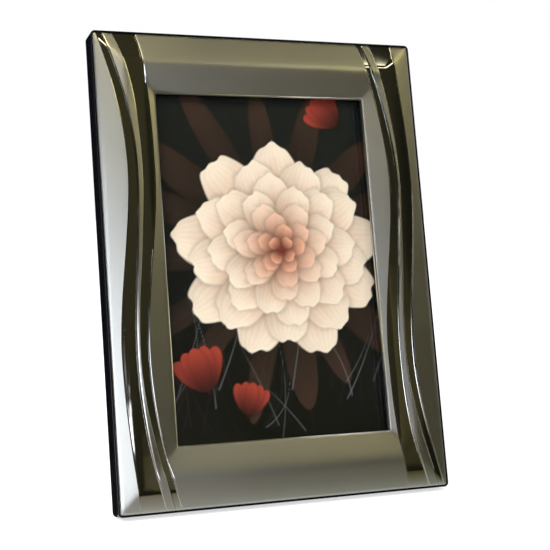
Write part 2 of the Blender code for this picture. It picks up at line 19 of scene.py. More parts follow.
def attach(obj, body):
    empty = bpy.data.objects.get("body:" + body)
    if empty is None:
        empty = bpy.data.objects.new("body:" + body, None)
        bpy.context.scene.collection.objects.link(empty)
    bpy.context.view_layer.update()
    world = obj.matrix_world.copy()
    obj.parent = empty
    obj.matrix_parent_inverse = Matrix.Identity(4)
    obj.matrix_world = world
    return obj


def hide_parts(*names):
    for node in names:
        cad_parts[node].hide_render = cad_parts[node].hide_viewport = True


bl_info = {
    "name": "Silver-plated photo frame",
    "version": (1, 0, 0),
    "blender": (4, 5, 0),
    "location": "3D View > Sidebar > Photo frame",
    "description": "Builds the looks of a silver-plated photo frame round its CAD model",
    "category": "Object",
}

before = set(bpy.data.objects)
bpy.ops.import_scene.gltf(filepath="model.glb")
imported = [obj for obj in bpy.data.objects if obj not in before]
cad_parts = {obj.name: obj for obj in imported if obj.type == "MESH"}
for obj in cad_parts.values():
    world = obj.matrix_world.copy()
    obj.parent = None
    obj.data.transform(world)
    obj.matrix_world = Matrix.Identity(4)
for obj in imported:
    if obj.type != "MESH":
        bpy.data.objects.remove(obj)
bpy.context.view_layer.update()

# Where the frame stands, and how far its leg opens
LEAN = math.radians(12)
OPEN_ANGLE = math.radians(25)
FOOT_TILT = OPEN_ANGLE - LEAN
PIVOT = Vector((0, 0.0134, 0.135))
STAND = Matrix.Translation((0, -0.036153, 0.001954)) @ Matrix.Rotation(-LEAN, 4, "X")
HINGE = STAND @ Matrix.Translation(PIVOT)
LEG = HINGE @ Matrix.Rotation(OPEN_ANGLE, 4, "X")

# Face sheet. A share runs over the border, from 0 at the sheet's outer edge to 1 at the window.
TURN_RADIUS = 0.0006
CORNER_CUT = 0.0003
RIDGE_SHARE = 0.5
RIDGE_SOFTNESS = 0.14
MITRE_SOFTNESS = 0.05
MITRE_FADE = 0.1
FLOOR_BLEND = 0.00013
FLUTE_DIP = 0.0004
INNER_DIP = 0.00005
TOP_DIP = 0.0015
TOP_BEND = 0.44
TOP_BEND_REACH = 0.06
FLOOR_SAG = 0.00007
SAG_END = 0.42
SAG_REACH = 0.12
CREST_DROP = 0.058
DIP_RISE = 0.062
CORNER_SPREAD = 0.25

# Each flute edge, as shares of the border: its start, crest, dip and end, then its slope at start and end.
FLUTE_EDGES = (
    (0.051, 0.437, 0.173, 0.335, 0.28, 0.10),
    (0.157, 0.590, 0.412, 0.753, 0.31, 0.28),
    (0.325, 0.686, 0.462, 0.894, 0.40, 0.29),
    (0.706, 0.890, 0.606, 1.004, 0.22, 0.30),
)

# The wall from a band to a floor, or back: distance from the flute edge, and share of the way down or up.
WALL_PROFILE = (
    (-0.00019, 0.0),
    (-0.00013, 0.0),
    (-0.00005, 0.45),
    (0.00004, 0.78),
    (0.00013, 0.870),
    (0.00023, 0.932),
    (0.00033, 0.970),
    (0.00043, 0.992),
    (0.00053, 1.0),
)

# How the sheet's edges turn back, as shares of the turn's radius outwards and back. A bevel comes first.
TURN_PROFILE = ((0.35, 0.16), (0.70, 0.34), (0.88, 0.50), (0.97, 0.72), (1.0, 1.0))

# How many steps the sheet's grid takes over each part of it.
BAND_STEPS = 5
FLOOR_STEPS = 14
INNER_STEPS = 10
RAIL_STEPS = 10
END_ROWS = 50
MIDDLE_ROWS = 120

# Body
LIP = 0.00075
BODY_DEPTH = 0.010
BODY_CORNER = 0.002
FRONT_ROUND = 0.0002
BACK_ROUND = 0.0006
WEB_FRONT = 0.0012
WEB_BACK = 0.0030
WEB_CORNER = 0.0002
GAP = 0.0003
REBATE_WIDTH = 0.1035
REBATE_HEIGHT = 0.1535

# What lies in the rebate
PRINT_WIDTH = 0.101
PRINT_HEIGHT = 0.151
PRINT_Y = 0.0054
PRINT_THICKNESS = 0.00025
PRINT_COLUMNS = 240
PRINT_ROWS = 360
BOARD_WIDTH = 0.1027
BOARD_HEIGHT = 0.1527
VELVET_Y = 0.00955
VELVET = 0.0006
VELVET_MARGIN = 0.0003
VELVET_CORNER = 0.001
VELVET_EDGE = 0.0002

# Turn buttons and their screws
BUTTON_Y = 0.0103
BUTTON = 0.0008
BUTTON_RADIUS = 0.0035
BUTTON_REACH = 0.009
BUTTON_HOLE = 0.0013
BUTTON_EDGE = 0.00018
BUTTON_STEPS = 24
SIDE_BUTTON_X = 0.05875
SIDE_BUTTON_SPREAD = 0.048
TOP_BUTTON_RISE = 0.08375
SCREW_SHANK = 0.0010
SCREW_TIP = 0.0004
SCREW_TAPER = 0.0012
SCREW_HEAD = 0.0025
SCREW_DOME = 0.0013
SCREW_LENGTH = 0.0060
SLOT_WIDTH = 0.00045
SLOT_DEPTH = 0.00055
SLOT_REACH = 0.0015
SLOT_RISE = 0.00052
SLOT_WALL = 0.6
SLOT_FADE = 0.25
SCREW_TURN = 0.5
SCREW_TURN_STEP = 0.7

# Easel leg and hinge, about the pin
STRUT = 0.0024
STRUT_TOP = 0.030
STRUT_FOOT = 0.056
STRUT_TOP_DROP = 0.004
STRUT_CORNER = 0.004
STRUT_EDGE = 0.00025
FOOT_CLEAR = 0.001
LEAF = 0.0008
LEAF_CORNER = 0.003
LEAF_EDGE = 0.00015
LEAF_RISE = 0.024
LEAF_DROP = 0.024
LEAF_BACK = 0.01125
EAR_SPAN = 0.022
EAR_RADIUS = 0.0026
CHEEK_GAP = 0.0004
CHEEK_RADIUS = 0.0020
HEEL_WIDTH = 0.012
PIN = 0.0010
PIN_HOLE = 0.0013
PIN_HEAD = 0.0017
PIN_HEAD_LENGTH = 0.0007
RIVET = 0.0011
RIVET_HEAD = 0.0022
RIVET_DOME = 0.0009
RIVET_BITE = 0.0016
BOARD_RIVET_SPREAD = 0.006
BOARD_RIVET_RISE = 0.018
STRUT_RIVET_DROPS = (0.0095, 0.0190)

# Places that are nearer each other than this count as one.
CLOSE = 1e-6

# How many steps the corner of a rounded rectangle takes, and the round of a hinge ear.
CORNER_STEPS = 10
EAR_STEPS = 20

WHITE = (1, 1, 1, 1)
BLACK = (0, 0, 0, 1)


def number_property(name, description, default, least=0.0, **settings):
    """A number that the user can change."""
    return bpy.props.FloatProperty(name=name, description=description, default=default, min=least, **settings)


def colour_property(name, description, default):
    """A colour that the user can change."""
    return bpy.props.FloatVectorProperty(
        name=name, description=description, default=default, subtype="COLOR", size=3
    )


class FrameSizes(bpy.types.PropertyGroup):
    """Sizes of the sheet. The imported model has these, so other values need a new pack."""

    face_width: number_property("Face width", "Width of the metal face", 0.146, 0.05, unit="LENGTH")
    face_height: number_property("Face height", "Height of the metal face", 0.198, 0.05, unit="LENGTH")
    opening_width: number_property("Opening width", "Width of the window", 0.095, 0.02, unit="LENGTH")
    opening_height: number_property("Opening height", "Height of the window", 0.147, 0.02, unit="LENGTH")
    ridge_height: number_property("Ridge height", "How far the cushion rises", 0.0022, unit="LENGTH")
    floor_height: number_property("Flute floor", "Height of the flutes' floors", 0.0010, unit="LENGTH")
    sheet: number_property("Sheet", "Thickness of the pressed sheet", 0.00045, 0.0001, unit="LENGTH")


class FrameFinishes(bpy.types.PropertyGroup):
    """Colours of the finishes."""

    satin: colour_property("Satin silver", "Blasted plate", (0.78, 0.77, 0.72))
    satin_roughness: number_property("Satin roughness", "How far the satin blurs", 0.36, max=1)
    polish: colour_property("Polished silver", "Flutes", (0.86, 0.84, 0.78))
    lacquer: colour_property("Lacquer", "The body", (0.005, 0.005, 0.008))
    velvet: colour_property("Velvet", "Back and leg", (0.010, 0.010, 0.014))
    brass: colour_property("Brass", "Buttons and screws", (0.74, 0.55, 0.26))
    nickel: colour_property("Nickel", "Hinge", (0.62, 0.60, 0.56))


class StageLight(bpy.types.PropertyGroup):
    """The camera and the light of the stage."""

    lens: number_property("Lens", "Focal length on a 36 mm sensor", 79.9, 10, subtype="DISTANCE_CAMERA")
    ambient: number_property("Ambient", "Strength of the world on matt surfaces", 0.75)
    key_power: number_property("Key lamp", "Power of the soft lamp on the left", 10.0, unit="POWER")
    floor_glow: number_property("Floor glow", "Share of the floor's white that shadow can't darken", 0.62)


def overloads(operation):
    """The methods of an operation, with the Value on its left and on its right."""

    def forward(self, other):
        return self.maths(operation, self, other)

    def reflected(self, other):
        return self.maths(operation, other, self)

    return forward, reflected


class Value:
    """One output socket of a node. Sums written with it add Math nodes."""

    __add__, __radd__ = overloads("ADD")
    __sub__, __rsub__ = overloads("SUBTRACT")
    __mul__, __rmul__ = overloads("MULTIPLY")
    __truediv__, __rtruediv__ = overloads("DIVIDE")
    __pow__, __rpow__ = overloads("POWER")

    def __init__(self, finish, socket):
        self.finish = finish
        self.socket = socket

    def __neg__(self):
        return self * -1

    def maths(self, operation, *values):
        return self.finish.node("ShaderNodeMath", {"operation": operation}, dict(enumerate(values)))

    def most(self, other):
        return self.maths("MAXIMUM", self, other)

    def exp(self):
        return self.maths("EXPONENT", self)


class Finish:
    """A material under construction, with one method that makes any node."""

    def __init__(self, name, kind=bpy.data.materials):
        self.looks = bpy.context.scene.frame_finishes
        self.data = kind.new(name)
        self.data.use_nodes = True
        self.tree = self.data.node_tree
        self.tree.nodes.clear()

    def node(self, kind, settings=None, inputs=None, output=0):
        """Adds a node, sets it up, feeds its sockets with numbers or Values, and returns one output."""
        made = self.tree.nodes.new(kind)
        for name, value in (settings or {}).items():
            setattr(made, name, value)
        for key, value in (inputs or {}).items():
            if isinstance(value, Value):
                self.tree.links.new(value.socket, made.inputs[key])
            else:
                made.inputs[key].default_value = value
        return Value(self, made.outputs[output]) if made.outputs else made

    def place(self, scale=(1, 1, 1)):
        """Object coordinates, stretched."""
        source = self.node("ShaderNodeTexCoord", output="Object")
        return self.node("ShaderNodeMapping", {}, {"Vector": source, "Scale": scale})

    def vectors(self, operation, inputs, output="Vector"):
        """Maths on vectors and colours."""
        return self.node("ShaderNodeVectorMath", {"operation": operation}, inputs, output)

    def noise(self, scale, detail=2.0, roughness=0.5, where=None):
        """Noise from 0 to 1, its scale in cells for each metre."""
        inputs = {"Vector": where or self.place(), "Scale": scale, "Detail": detail, "Roughness": roughness}
        return self.node("ShaderNodeTexNoise", {}, inputs, "Fac")

    def mix(self, share, first, second):
        """A colour between two colours."""
        return self.node("ShaderNodeMix", {"data_type": "RGBA"}, {0: share, 6: first, 7: second}, 2)

    def shades(self, share, colour, dark, light):
        """A colour between a darker and a lighter shade of itself."""
        return self.mix(share, opaque(colour, dark), opaque(colour, light))

    def lit(self, colour, light, share):
        """A colour with a share of a light's colour added to it."""
        return self.vectors("ADD", {0: self.vectors("SCALE", {0: light, "Scale": share}), 1: colour})

    def bump(self, height, strength, distance):
        """The normal of a rough surface, the bumps' height in metres."""
        return self.node("ShaderNodeBump", {}, {"Height": height, "Strength": strength, "Distance": distance})

    def glow(self, colour, strength=1.0):
        """A shader that gives off light."""
        return self.node("ShaderNodeEmission", {}, {"Color": colour, "Strength": strength})

    def surface(self, **sockets):
        """Ends the material in a Principled shader. Socket names have underscores for spaces."""
        named = {name.replace("_", " "): value for name, value in sockets.items()}
        return self.end(self.node("ShaderNodeBsdfPrincipled", {}, named))

    def metal(self, colour, roughness, normal):
        """Ends the material in a bare metal."""
        return self.surface(Base_Color=colour, Metallic=1.0, Roughness=roughness, Normal=normal)

    def end(self, shader):
        self.node("ShaderNodeOutputMaterial", {}, {"Surface": shader})
        return self.data


def opaque(colour, factor=1.0):
    """A colour for a socket, lightened or darkened by a factor."""
    return (*(min(part * factor, 1.0) for part in colour), 1.0)


def satin_silver():
    """Silver plate over a blasted sheet: an even satin with a fine grain."""
    made = Finish("satin_silver")
    grain = made.noise(5200, detail=3.0, roughness=0.6)
    clouds = made.noise(45)
    colour = made.shades(clouds, made.looks.satin, dark=0.96, light=1.03)
    roughness = made.looks.satin_roughness + 0.03 * (grain - 0.5) + 0.03 * (clouds - 0.5)
    return made.metal(colour, roughness, made.bump(grain, strength=0.22, distance=0.00002))


def polished_silver():
    """Bright flutes: nearly a mirror, with the slight waviness of pressed metal."""
    made = Finish("polished_silver")
    waves = made.noise(90, detail=1.0)
    smears = made.noise(700)
    colour = made.shades(waves, made.looks.polish, dark=0.97, light=1.02)
    normal = made.bump(waves, strength=0.25, distance=0.0004)
    return made.metal(colour, 0.045 + 0.02 * smears, normal)


def gloss_lacquer():
    """Sprayed gloss lacquer over wood, with a faint orange peel."""
    made = Finish("gloss_lacquer")
    peel = made.noise(420)
    dust = made.noise(2600)
    return made.surface(
        Base_Color=made.shades(dust**3, made.looks.lacquer, dark=1.0, light=2.5),
        Roughness=0.20 + 0.10 * dust,
        Normal=made.bump(peel, strength=0.12, distance=0.0002),
        Coat_Weight=0.2,
        Coat_Roughness=0.08,
    )


# Share of light that glass mirrors when it is seen straight on.
GLASS_SHINE = 0.04


def float_glass():
    """Float glass: clear, with a shine that grows as it is seen more from the side, alike on both faces."""
    made = Finish("float_glass")
    wave = made.bump(made.noise(14, detail=1.0), strength=0.05, distance=0.0006)
    clear = made.node("ShaderNodeBsdfTransparent", {}, {"Color": (0.985, 0.995, 0.99, 1)})
    shine = made.node("ShaderNodeBsdfGlossy", {}, {"Color": WHITE, "Roughness": 0.02, "Normal": wave})
    facing = made.node("ShaderNodeLayerWeight", {}, {"Blend": 0.5, "Normal": wave}, "Facing")
    edge = GLASS_SHINE + (1 - GLASS_SHINE) * facing**5
    return made.end(made.node("ShaderNodeMixShader", {}, {0: edge, 1: clear, 2: shine}))


def glossy_paper():
    """Glossy paper that takes its picture from the colours on the piece."""
    made = Finish("glossy_paper")
    picture = made.node("ShaderNodeAttribute", {"attribute_name": "picture"}, output="Color")
    tooth = made.noise(3000)
    normal = made.bump(tooth, strength=0.04, distance=0.00002)
    return made.surface(Base_Color=picture, Roughness=0.32 + 0.06 * tooth, Normal=normal)


def pulp_card():
    """Plain pulp card with flecks."""
    made = Finish("pulp_card")
    flecks = made.noise(1800, detail=3.0)
    colour = made.mix(flecks, (0.36, 0.34, 0.30, 1), (0.50, 0.48, 0.44, 1))
    normal = made.bump(flecks, strength=0.2, distance=0.00005)
    return made.surface(Base_Color=colour, Roughness=0.85, Normal=normal)


def hardboard():
    """Hardboard, brown and mottled with pressed fibres."""
    made = Finish("hardboard")
    fibres = made.noise(1500, detail=4.0, roughness=0.65, where=made.place((1, 1, 0.35)))
    patches = made.noise(120)
    mottled = made.mix(fibres, (0.055, 0.030, 0.017, 1), (0.16, 0.095, 0.052, 1))
    colour = made.mix(0.35 * patches, mottled, (0.05, 0.030, 0.020, 1))
    normal = made.bump(fibres, strength=0.35, distance=0.00012)
    return made.surface(Base_Color=colour, Roughness=0.72, Normal=normal)


def flocked_velvet():
    """Flocked cloth: a short black pile, with painted sheen that lightens it where it is brushed over."""
    made = Finish("flocked_velvet")
    pile = made.noise(3800, detail=3.0, roughness=0.7)
    strokes = made.noise(38, detail=3.0, roughness=0.55, where=made.place((1, 1, 0.6)))
    lint = made.noise(900, detail=1.0)
    # Painted sheen: the pile is shaded lighter where it is brushed over, in place of the light that it
    # catches.
    brushed_sheen = made.shades(strokes, made.looks.velvet, dark=0.6, light=2.6)
    return made.surface(
        Base_Color=made.mix((pile * lint) ** 4, brushed_sheen, (0.10, 0.10, 0.11, 1)),
        Roughness=0.95,
        Normal=made.bump(pile, strength=0.6, distance=0.00025),
        Sheen_Weight=0.35,
        Sheen_Roughness=0.35,
        Sheen_Tint=(0.55, 0.58, 0.70, 1),
    )


def bright_brass():
    """Bright brass plate on stamped steel, with fine handling scratches."""
    made = Finish("bright_brass")
    scratches = made.noise(900, detail=3.0, roughness=0.6, where=made.place((1, 0.3, 6)))
    tarnish = made.noise(260)
    colour = made.shades(tarnish, made.looks.brass, dark=0.82, light=1.08)
    roughness = 0.20 + 0.12 * scratches + 0.08 * tarnish
    return made.metal(colour, roughness, made.bump(scratches, strength=0.15, distance=0.00003))


def dull_nickel():
    """Dull nickel over rolled steel, with the sheet's rolling marks."""
    made = Finish("dull_nickel")
    rolling = made.noise(1100, detail=3.0, roughness=0.6, where=made.place((7, 1, 0.3)))
    stain = made.noise(220)
    colour = made.shades(stain, made.looks.nickel, dark=0.85, light=1.06)
    roughness = 0.26 + 0.10 * rolling + 0.06 * stain
    return made.metal(colour, roughness, made.bump(rolling, strength=0.12, distance=0.00003))


def finish(make):
    """The material that a function makes, made the first time that it is asked for."""
    return bpy.data.materials.get(make.__name__) or make()


def to_object(name, bm, materials):
    """Turns a bmesh into a smooth object in the scene."""
    mesh = bpy.data.meshes.new(name)
    bm.to_mesh(mesh)
    bm.free()
    mesh.shade_smooth()
    for material in materials:
        mesh.materials.append(material)
    made = bpy.data.objects.new(name, mesh)
    bpy.context.scene.collection.objects.link(made)
    return made


def to_piece(name, bm, matrix, finishes, body, slot, node, smooth_below=35):
    """Turns a bmesh into a piece in the row frame that rides on a body and stands for a CAD node."""
    bmesh.ops.transform(bm, matrix=matrix, verts=bm.verts)
    bmesh.ops.recalc_face_normals(bm, faces=bm.faces)
    piece = to_object(name, bm, [finish(make) for make in finishes])
    piece.data.set_sharp_from_angle(angle=math.radians(smooth_below))
    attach(piece, body)
    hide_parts(node)
    return piece


def dress_node(name, make):
    """Gives a CAD node a finish of its own and leaves its shape alone."""
    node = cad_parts[name]
    node.data.materials.clear()
    node.data.materials.append(finish(make))


def middle_z():
    return bpy.context.scene.frame_sizes.face_height / 2 + LIP


def arc(centre, radii, start, end, steps=8):
    """Points along an ellipse, as (across, up) or (radius, distance) pairs. Angles are in degrees."""
    turns = [math.radians(start + (end - start) * step / steps) for step in range(steps + 1)]
    return [(centre[0] + radii[0] * math.cos(t), centre[1] + radii[1] * math.sin(t)) for t in turns]


def rounded_rectangle(half_width, half_height, radius):
    """Points of a rounded rectangle about the origin, anticlockwise, as (across, up) pairs."""
    points = []
    for quarter, (side, level) in enumerate(((1, 1), (-1, 1), (-1, -1), (1, -1))):
        centre = (side * (half_width - radius), level * (half_height - radius))
        points += arc(centre, (radius, radius), 90 * quarter, 90 * (quarter + 1), CORNER_STEPS)
    return points


def slab(bm, points, reach):
    """A flat face through points, extruded along a vector."""
    face = bm.faces.new([bm.verts.new(point) for point in points])
    new = bmesh.ops.extrude_face_region(bm, geom=[face])["geom"]
    moved = [item for item in new if isinstance(item, bmesh.types.BMVert)]
    bmesh.ops.translate(bm, verts=moved, vec=reach)


def extended(bm, edges):
    """Extrudes open edges, and returns the new ones and their vertices."""
    new = bmesh.ops.extrude_edge_only(bm, edges=edges)["geom"]
    edges = [item for item in new if isinstance(item, bmesh.types.BMEdge)]
    return edges, list({vert for edge in edges for vert in edge.verts})


def loft(bm, rings, closed=True):
    """Carries a ring of edges through rings of points. Closed, it ends where it began; else it is capped."""
    first = [bm.verts.new(point) for point in rings[0]]
    verts = first
    for pair in zip(verts, verts[1:] + verts[:1]):
        bm.edges.new(pair)
    for ring in rings[1:] + (rings[:1] if closed else []):
        edges = [bm.edges.get(pair) for pair in zip(verts, verts[1:] + verts[:1])]
        new = set(bmesh.ops.extrude_edge_only(bm, edges=edges)["geom"])
        verts = [next(e.other_vert(v) for e in v.link_edges if e.other_vert(v) in new) for v in verts]
        for vert, point in zip(verts, ring):
            vert.co = point
    if closed:
        bmesh.ops.remove_doubles(bm, verts=first + verts, dist=CLOSE / 10)
    else:
        bm.faces.new(first)
        bm.faces.new(verts)


def soften(bm, width, segments=3, above=40):
    """Bevels the edges that turn by more than an angle."""
    bmesh.ops.recalc_face_normals(bm, faces=bm.faces)
    limit = math.radians(above)
    sharp = [edge for edge in bm.edges if edge.is_manifold and edge.calc_face_angle() > limit]
    bmesh.ops.bevel(
        bm,
        geom=sharp,
        offset=width,
        segments=segments,
        profile=0.5,
        affect="EDGES",
        material=-1,
        clamp_overlap=True,
    )


def turned(bm, profile, centre, axis, steps=40):
    """Spins (radius, distance) points about an axis. The first and last lie on it."""
    axis = Vector(axis)
    side = axis.orthogonal().normalized()
    verts = [bm.verts.new(Vector(centre) + side * r + axis * h) for r, h in profile]
    geom = verts + [bm.edges.new(pair) for pair in zip(verts, verts[1:])]
    bmesh.ops.spin(bm, geom=geom, cent=centre, axis=axis, angle=math.tau, steps=steps, use_merge=True)
    bmesh.ops.remove_doubles(bm, verts=bm.verts, dist=CLOSE)


def smooth_min(a, b, softness):
    return (a + b - math.sqrt((a - b) ** 2 + softness**2)) / 2


def smooth_step(t):
    t = min(max(t, 0), 1)
    return t * t * (3 - 2 * t)


def hermite(t, length, start, end, start_slope, end_slope):
    """A cubic from start to end over a length, with the slopes given at both."""
    t2 = t * t
    t3 = t2 * t
    ends = (2 * t3 - 3 * t2 + 1) * start + (3 * t2 - 2 * t3) * end
    return ends + length * ((t3 - 2 * t2 + t) * start_slope + (t3 - t2) * end_slope)


class Sheet:
    """The pressed sheet's form: where its flutes run and how high it stands at each place."""

    def __init__(self, sizes):
        self.width = sizes.face_width
        self.height = sizes.face_height
        self.opening_width = sizes.opening_width
        self.opening_height = sizes.opening_height
        self.ridge = sizes.ridge_height
        self.floor = sizes.floor_height
        self.side = (self.width - self.opening_width) / 2
        self.end = (self.height - self.opening_height) / 2

    def flute_edge(self, edge, drop):
        """Distance of a flute edge from the sheet's outer edge, at this drop from the flute's start."""
        start, crest, dip, end = (share * self.side for share in edge[:4])
        start_slope, end_slope = edge[4:]
        dip_drop = self.height - DIP_RISE
        if drop < CREST_DROP:
            return hermite(drop / CREST_DROP, CREST_DROP, start, crest, start_slope, 0)
        if drop < dip_drop:
            length = dip_drop - CREST_DROP
            return hermite((drop - CREST_DROP) / length, length, crest, dip, 0, 0)
        return hermite((drop - dip_drop) / DIP_RISE, DIP_RISE, dip, end, 0, end_slope)

    def cushion(self, share):
        """Height of the satin surface at a share of the way from the outer edge to the opening."""
        reach = RIDGE_SHARE if share < RIDGE_SHARE else 1 - RIDGE_SHARE
        t = (share - RIDGE_SHARE) / reach
        fall = math.sqrt(t * t + RIDGE_SOFTNESS**2) - RIDGE_SOFTNESS
        return self.ridge * (1 - fall / (math.sqrt(1 + RIDGE_SOFTNESS**2) - RIDGE_SOFTNESS))

    def relief(self, x, z, sunk):
        """Height of the front at a place from the face's centre, where sunk is 1 on a flute's floor."""
        across = (self.width / 2 - abs(x)) / self.side
        up = (self.height / 2 - abs(z)) / self.end
        share = max(smooth_min(across, up, MITRE_SOFTNESS), 0)
        satin = self.cushion(share)
        if not sunk:
            return satin
        dip = FLUTE_DIP if share < RIDGE_SHARE else INNER_DIP
        if z > 0:
            on_rail = smooth_step((across - up) / MITRE_FADE)
            dip += TOP_DIP * share * on_rail * smooth_step((TOP_BEND - share) / TOP_BEND_REACH)
        sag = FLOOR_SAG * max((SAG_END - share) / SAG_REACH, 0) ** 2
        floor = smooth_min(self.floor - sag, satin - dip, FLOOR_BLEND)
        return satin + sunk * (floor - satin)

    def columns(self, drop):
        """Where the columns cross a side: how far in from the edge, and how far down into a flute."""
        edges = [self.flute_edge(edge, drop) for edge in FLUTE_EDGES]
        past_corner = max(self.end - drop, drop - (self.height - self.end), 0) / self.end
        last = self.side * (1 + CORNER_SPREAD * past_corner) - TURN_RADIUS
        places = [(TURN_RADIUS, 0.0)]
        for number, edge in enumerate(edges):
            entering = number % 2 == 0
            steps = BAND_STEPS if entering else FLOOR_STEPS
            before = places[-1][0]
            run = edge + WALL_PROFILE[0][0] - before
            for step in range(1, steps):
                places.append((before + run * step / steps, 0.0 if entering else 1.0))
            for offset, share in WALL_PROFILE:
                places.append((edge + offset, share if entering else 1 - share))
        before = places[-1][0]
        for step in range(1, INNER_STEPS + 1):
            places.append((before + (last - before) * step / INNER_STEPS, 0.0))
        return places

    def rows(self):
        """Heights of the rows, from the bottom edge up, closer together at both ends."""
        inner = self.end - TURN_RADIUS
        ends = [TURN_RADIUS + (inner - TURN_RADIUS) * row / END_ROWS for row in range(END_ROWS + 1)]
        middle = self.height - 2 * inner
        rows = ends + [inner + middle * row / MIDDLE_ROWS for row in range(1, MIDDLE_ROWS)]
        return rows + [self.height - end for end in reversed(ends)]


def grid_places(bm, columns, rows):
    """The column and row of each vertex of a unit grid."""
    return {
        vert: (round((vert.co.x + 0.5) * (columns - 1)), round((vert.co.y + 0.5) * (rows - 1)))
        for vert in bm.verts
    }


def roll_edge(bm, edges, half_width, half_height, outward, depth):
    """Bevels and turns an open edge of the sheet and runs it straight back to a depth."""
    start_width = half_width - outward * TURN_RADIUS
    start_height = half_height - outward * TURN_RADIUS
    centre = middle_z()
    steps = [(TURN_RADIUS * out, TURN_RADIUS * back) for out, back in TURN_PROFILE]
    before = 0
    for shift, back in [*steps, (TURN_RADIUS, depth)]:
        fade = (TURN_RADIUS - back) / (TURN_RADIUS - before) if back < TURN_RADIUS else 0
        cut = CORNER_CUT * shift / TURN_RADIUS if outward > 0 else 0
        edges, verts = extended(bm, edges)
        for vert in verts:
            x = vert.co.x
            z = vert.co.z - centre
            at_side = outward * (abs(x) - start_width) >= -CLOSE
            at_end = outward * (abs(z) - start_height) >= -CLOSE
            reach = outward * shift - (cut if at_side and at_end else 0)
            if at_side:
                vert.co.x = math.copysign(start_width + reach, x)
            if at_end:
                vert.co.z = centre + math.copysign(start_height + reach, z)
            vert.co.y = back + (vert.co.y - before) * fade
        before = back


def face_sheet():
    """The pressed sheet: a satin cushion with polished flutes winding down each side."""
    sizes = bpy.context.scene.frame_sizes
    form = Sheet(sizes)
    centre = middle_z()
    rows = form.rows()
    sides = [(form.columns(form.height - up), form.columns(up)) for up in rows]
    first_rail = len(sides[0][0]) - 1
    last_rail = first_rail + RAIL_STEPS
    last_column = last_rail + first_rail
    bm = bmesh.new()
    bmesh.ops.create_grid(bm, x_segments=last_column, y_segments=len(rows) - 1, size=0.5)
    grid = grid_places(bm, last_column + 1, len(rows))
    sunk = {}
    for vert, (column, row) in grid.items():
        left, right = sides[row]
        if column <= first_rail:
            inset, down = left[column]
            x = inset - form.width / 2
        elif column >= last_rail:
            inset, down = right[last_column - column]
            x = form.width / 2 - inset
        else:
            down = 0.0
            start = left[-1][0] - form.width / 2
            end = form.width / 2 - right[-1][0]
            x = start + (end - start) * (column - first_rail) / RAIL_STEPS
        z = rows[row] - form.height / 2
        sunk[vert] = down
        vert.co = (x, -form.relief(x, z, down), centre + z)
    last_row = END_ROWS + MIDDLE_ROWS
    opening = []
    for face in bm.faces:
        face.material_index = 1 if any(sunk[vert] > 0 for vert in face.verts) else 0
        in_width = all(first_rail <= grid[vert][0] <= last_rail for vert in face.verts)
        in_height = all(END_ROWS <= grid[vert][1] <= last_row for vert in face.verts)
        if in_width and in_height:
            opening.append(face)
    bmesh.ops.delete(bm, geom=opening, context="FACES")
    outer = []
    inner = []
    for edge in bm.edges:
        if edge.is_boundary:
            middle = (edge.verts[0].co + edge.verts[1].co) / 2
            at_side = abs(middle.x) > (form.width - form.side) / 2
            at_end = abs(middle.z - centre) > (form.height - form.end) / 2
            (outer if at_side or at_end else inner).append(edge)
    roll_edge(bm, outer, form.width / 2, form.height / 2, 1, WEB_FRONT - GAP)
    roll_edge(bm, inner, form.opening_width / 2, form.opening_height / 2, -1, WEB_FRONT)
    finishes = [satin_silver, polished_silver]
    riding = ("frame", "silver_plate", "face_panel")
    piece = to_piece("face_sheet", bm, STAND, finishes, *riding, smooth_below=180)
    solidify = piece.modifiers.new("sheet", "SOLIDIFY")
    solidify.thickness = sizes.sheet
    solidify.offset = -1


def body_moulding():
    """The lacquered body: a front lip round the sheet's recess, a web, and a rebate behind it."""
    sizes = bpy.context.scene.frame_sizes
    half_width = sizes.face_width / 2 + LIP
    half_height = sizes.face_height / 2 + LIP
    rounds = arc((FRONT_ROUND, FRONT_ROUND), (FRONT_ROUND, FRONT_ROUND), 270, 180, steps=3)
    rounds += arc((BACK_ROUND, BODY_DEPTH - BACK_ROUND), (BACK_ROUND, BACK_ROUND), 180, 90, steps=4)
    profile = [(half_width - inset, half_height - inset, BODY_CORNER - inset, y) for inset, y in rounds]
    recess = LIP - GAP
    inside_lip = (half_width - recess, half_height - recess, BODY_CORNER - recess)
    web_gap = sizes.sheet + GAP
    web = (sizes.opening_width / 2 + web_gap, sizes.opening_height / 2 + web_gap, WEB_CORNER)
    rebate = (REBATE_WIDTH / 2, REBATE_HEIGHT / 2, WEB_CORNER)
    profile += [
        (*rebate, BODY_DEPTH),
        (*rebate, WEB_BACK),
        (*web, WEB_BACK),
        (*web, WEB_FRONT),
        (*inside_lip, WEB_FRONT),
        (*inside_lip, 0),
    ]
    centre = middle_z()
    rings = []
    for x, z, radius, y in profile:
        rings.append([(across, y, centre + up) for across, up in rounded_rectangle(x, z, radius)])
    bm = bmesh.new()
    loft(bm, rings)
    to_piece("body_moulding", bm, STAND, [gloss_lacquer], "frame", "black_lacquer", "body_frame")


# How a petal of the print is drawn: its soft edge, the shadow that it casts and its light rim, in metres.
PETAL_EDGE = 0.0009
SHADOW_REACH = 0.0035
SHADOW_FADE = 0.0045
RIM_WIDTH = 0.0016

# Its outline: how wide it swells, how fast it opens from its root, and the least reach and width in use.
PETAL_SWELL = 1.12
ROOT_POWER = 0.55
LEAST_REACH = 1e-4
LEAST_OUTLINE = 0.05

# The waves of a ruffled edge: height, count over half the width, and shift for each radian of turn.
RUFFLES = ((1.0, 7, 5), (0.6, 15, 9))

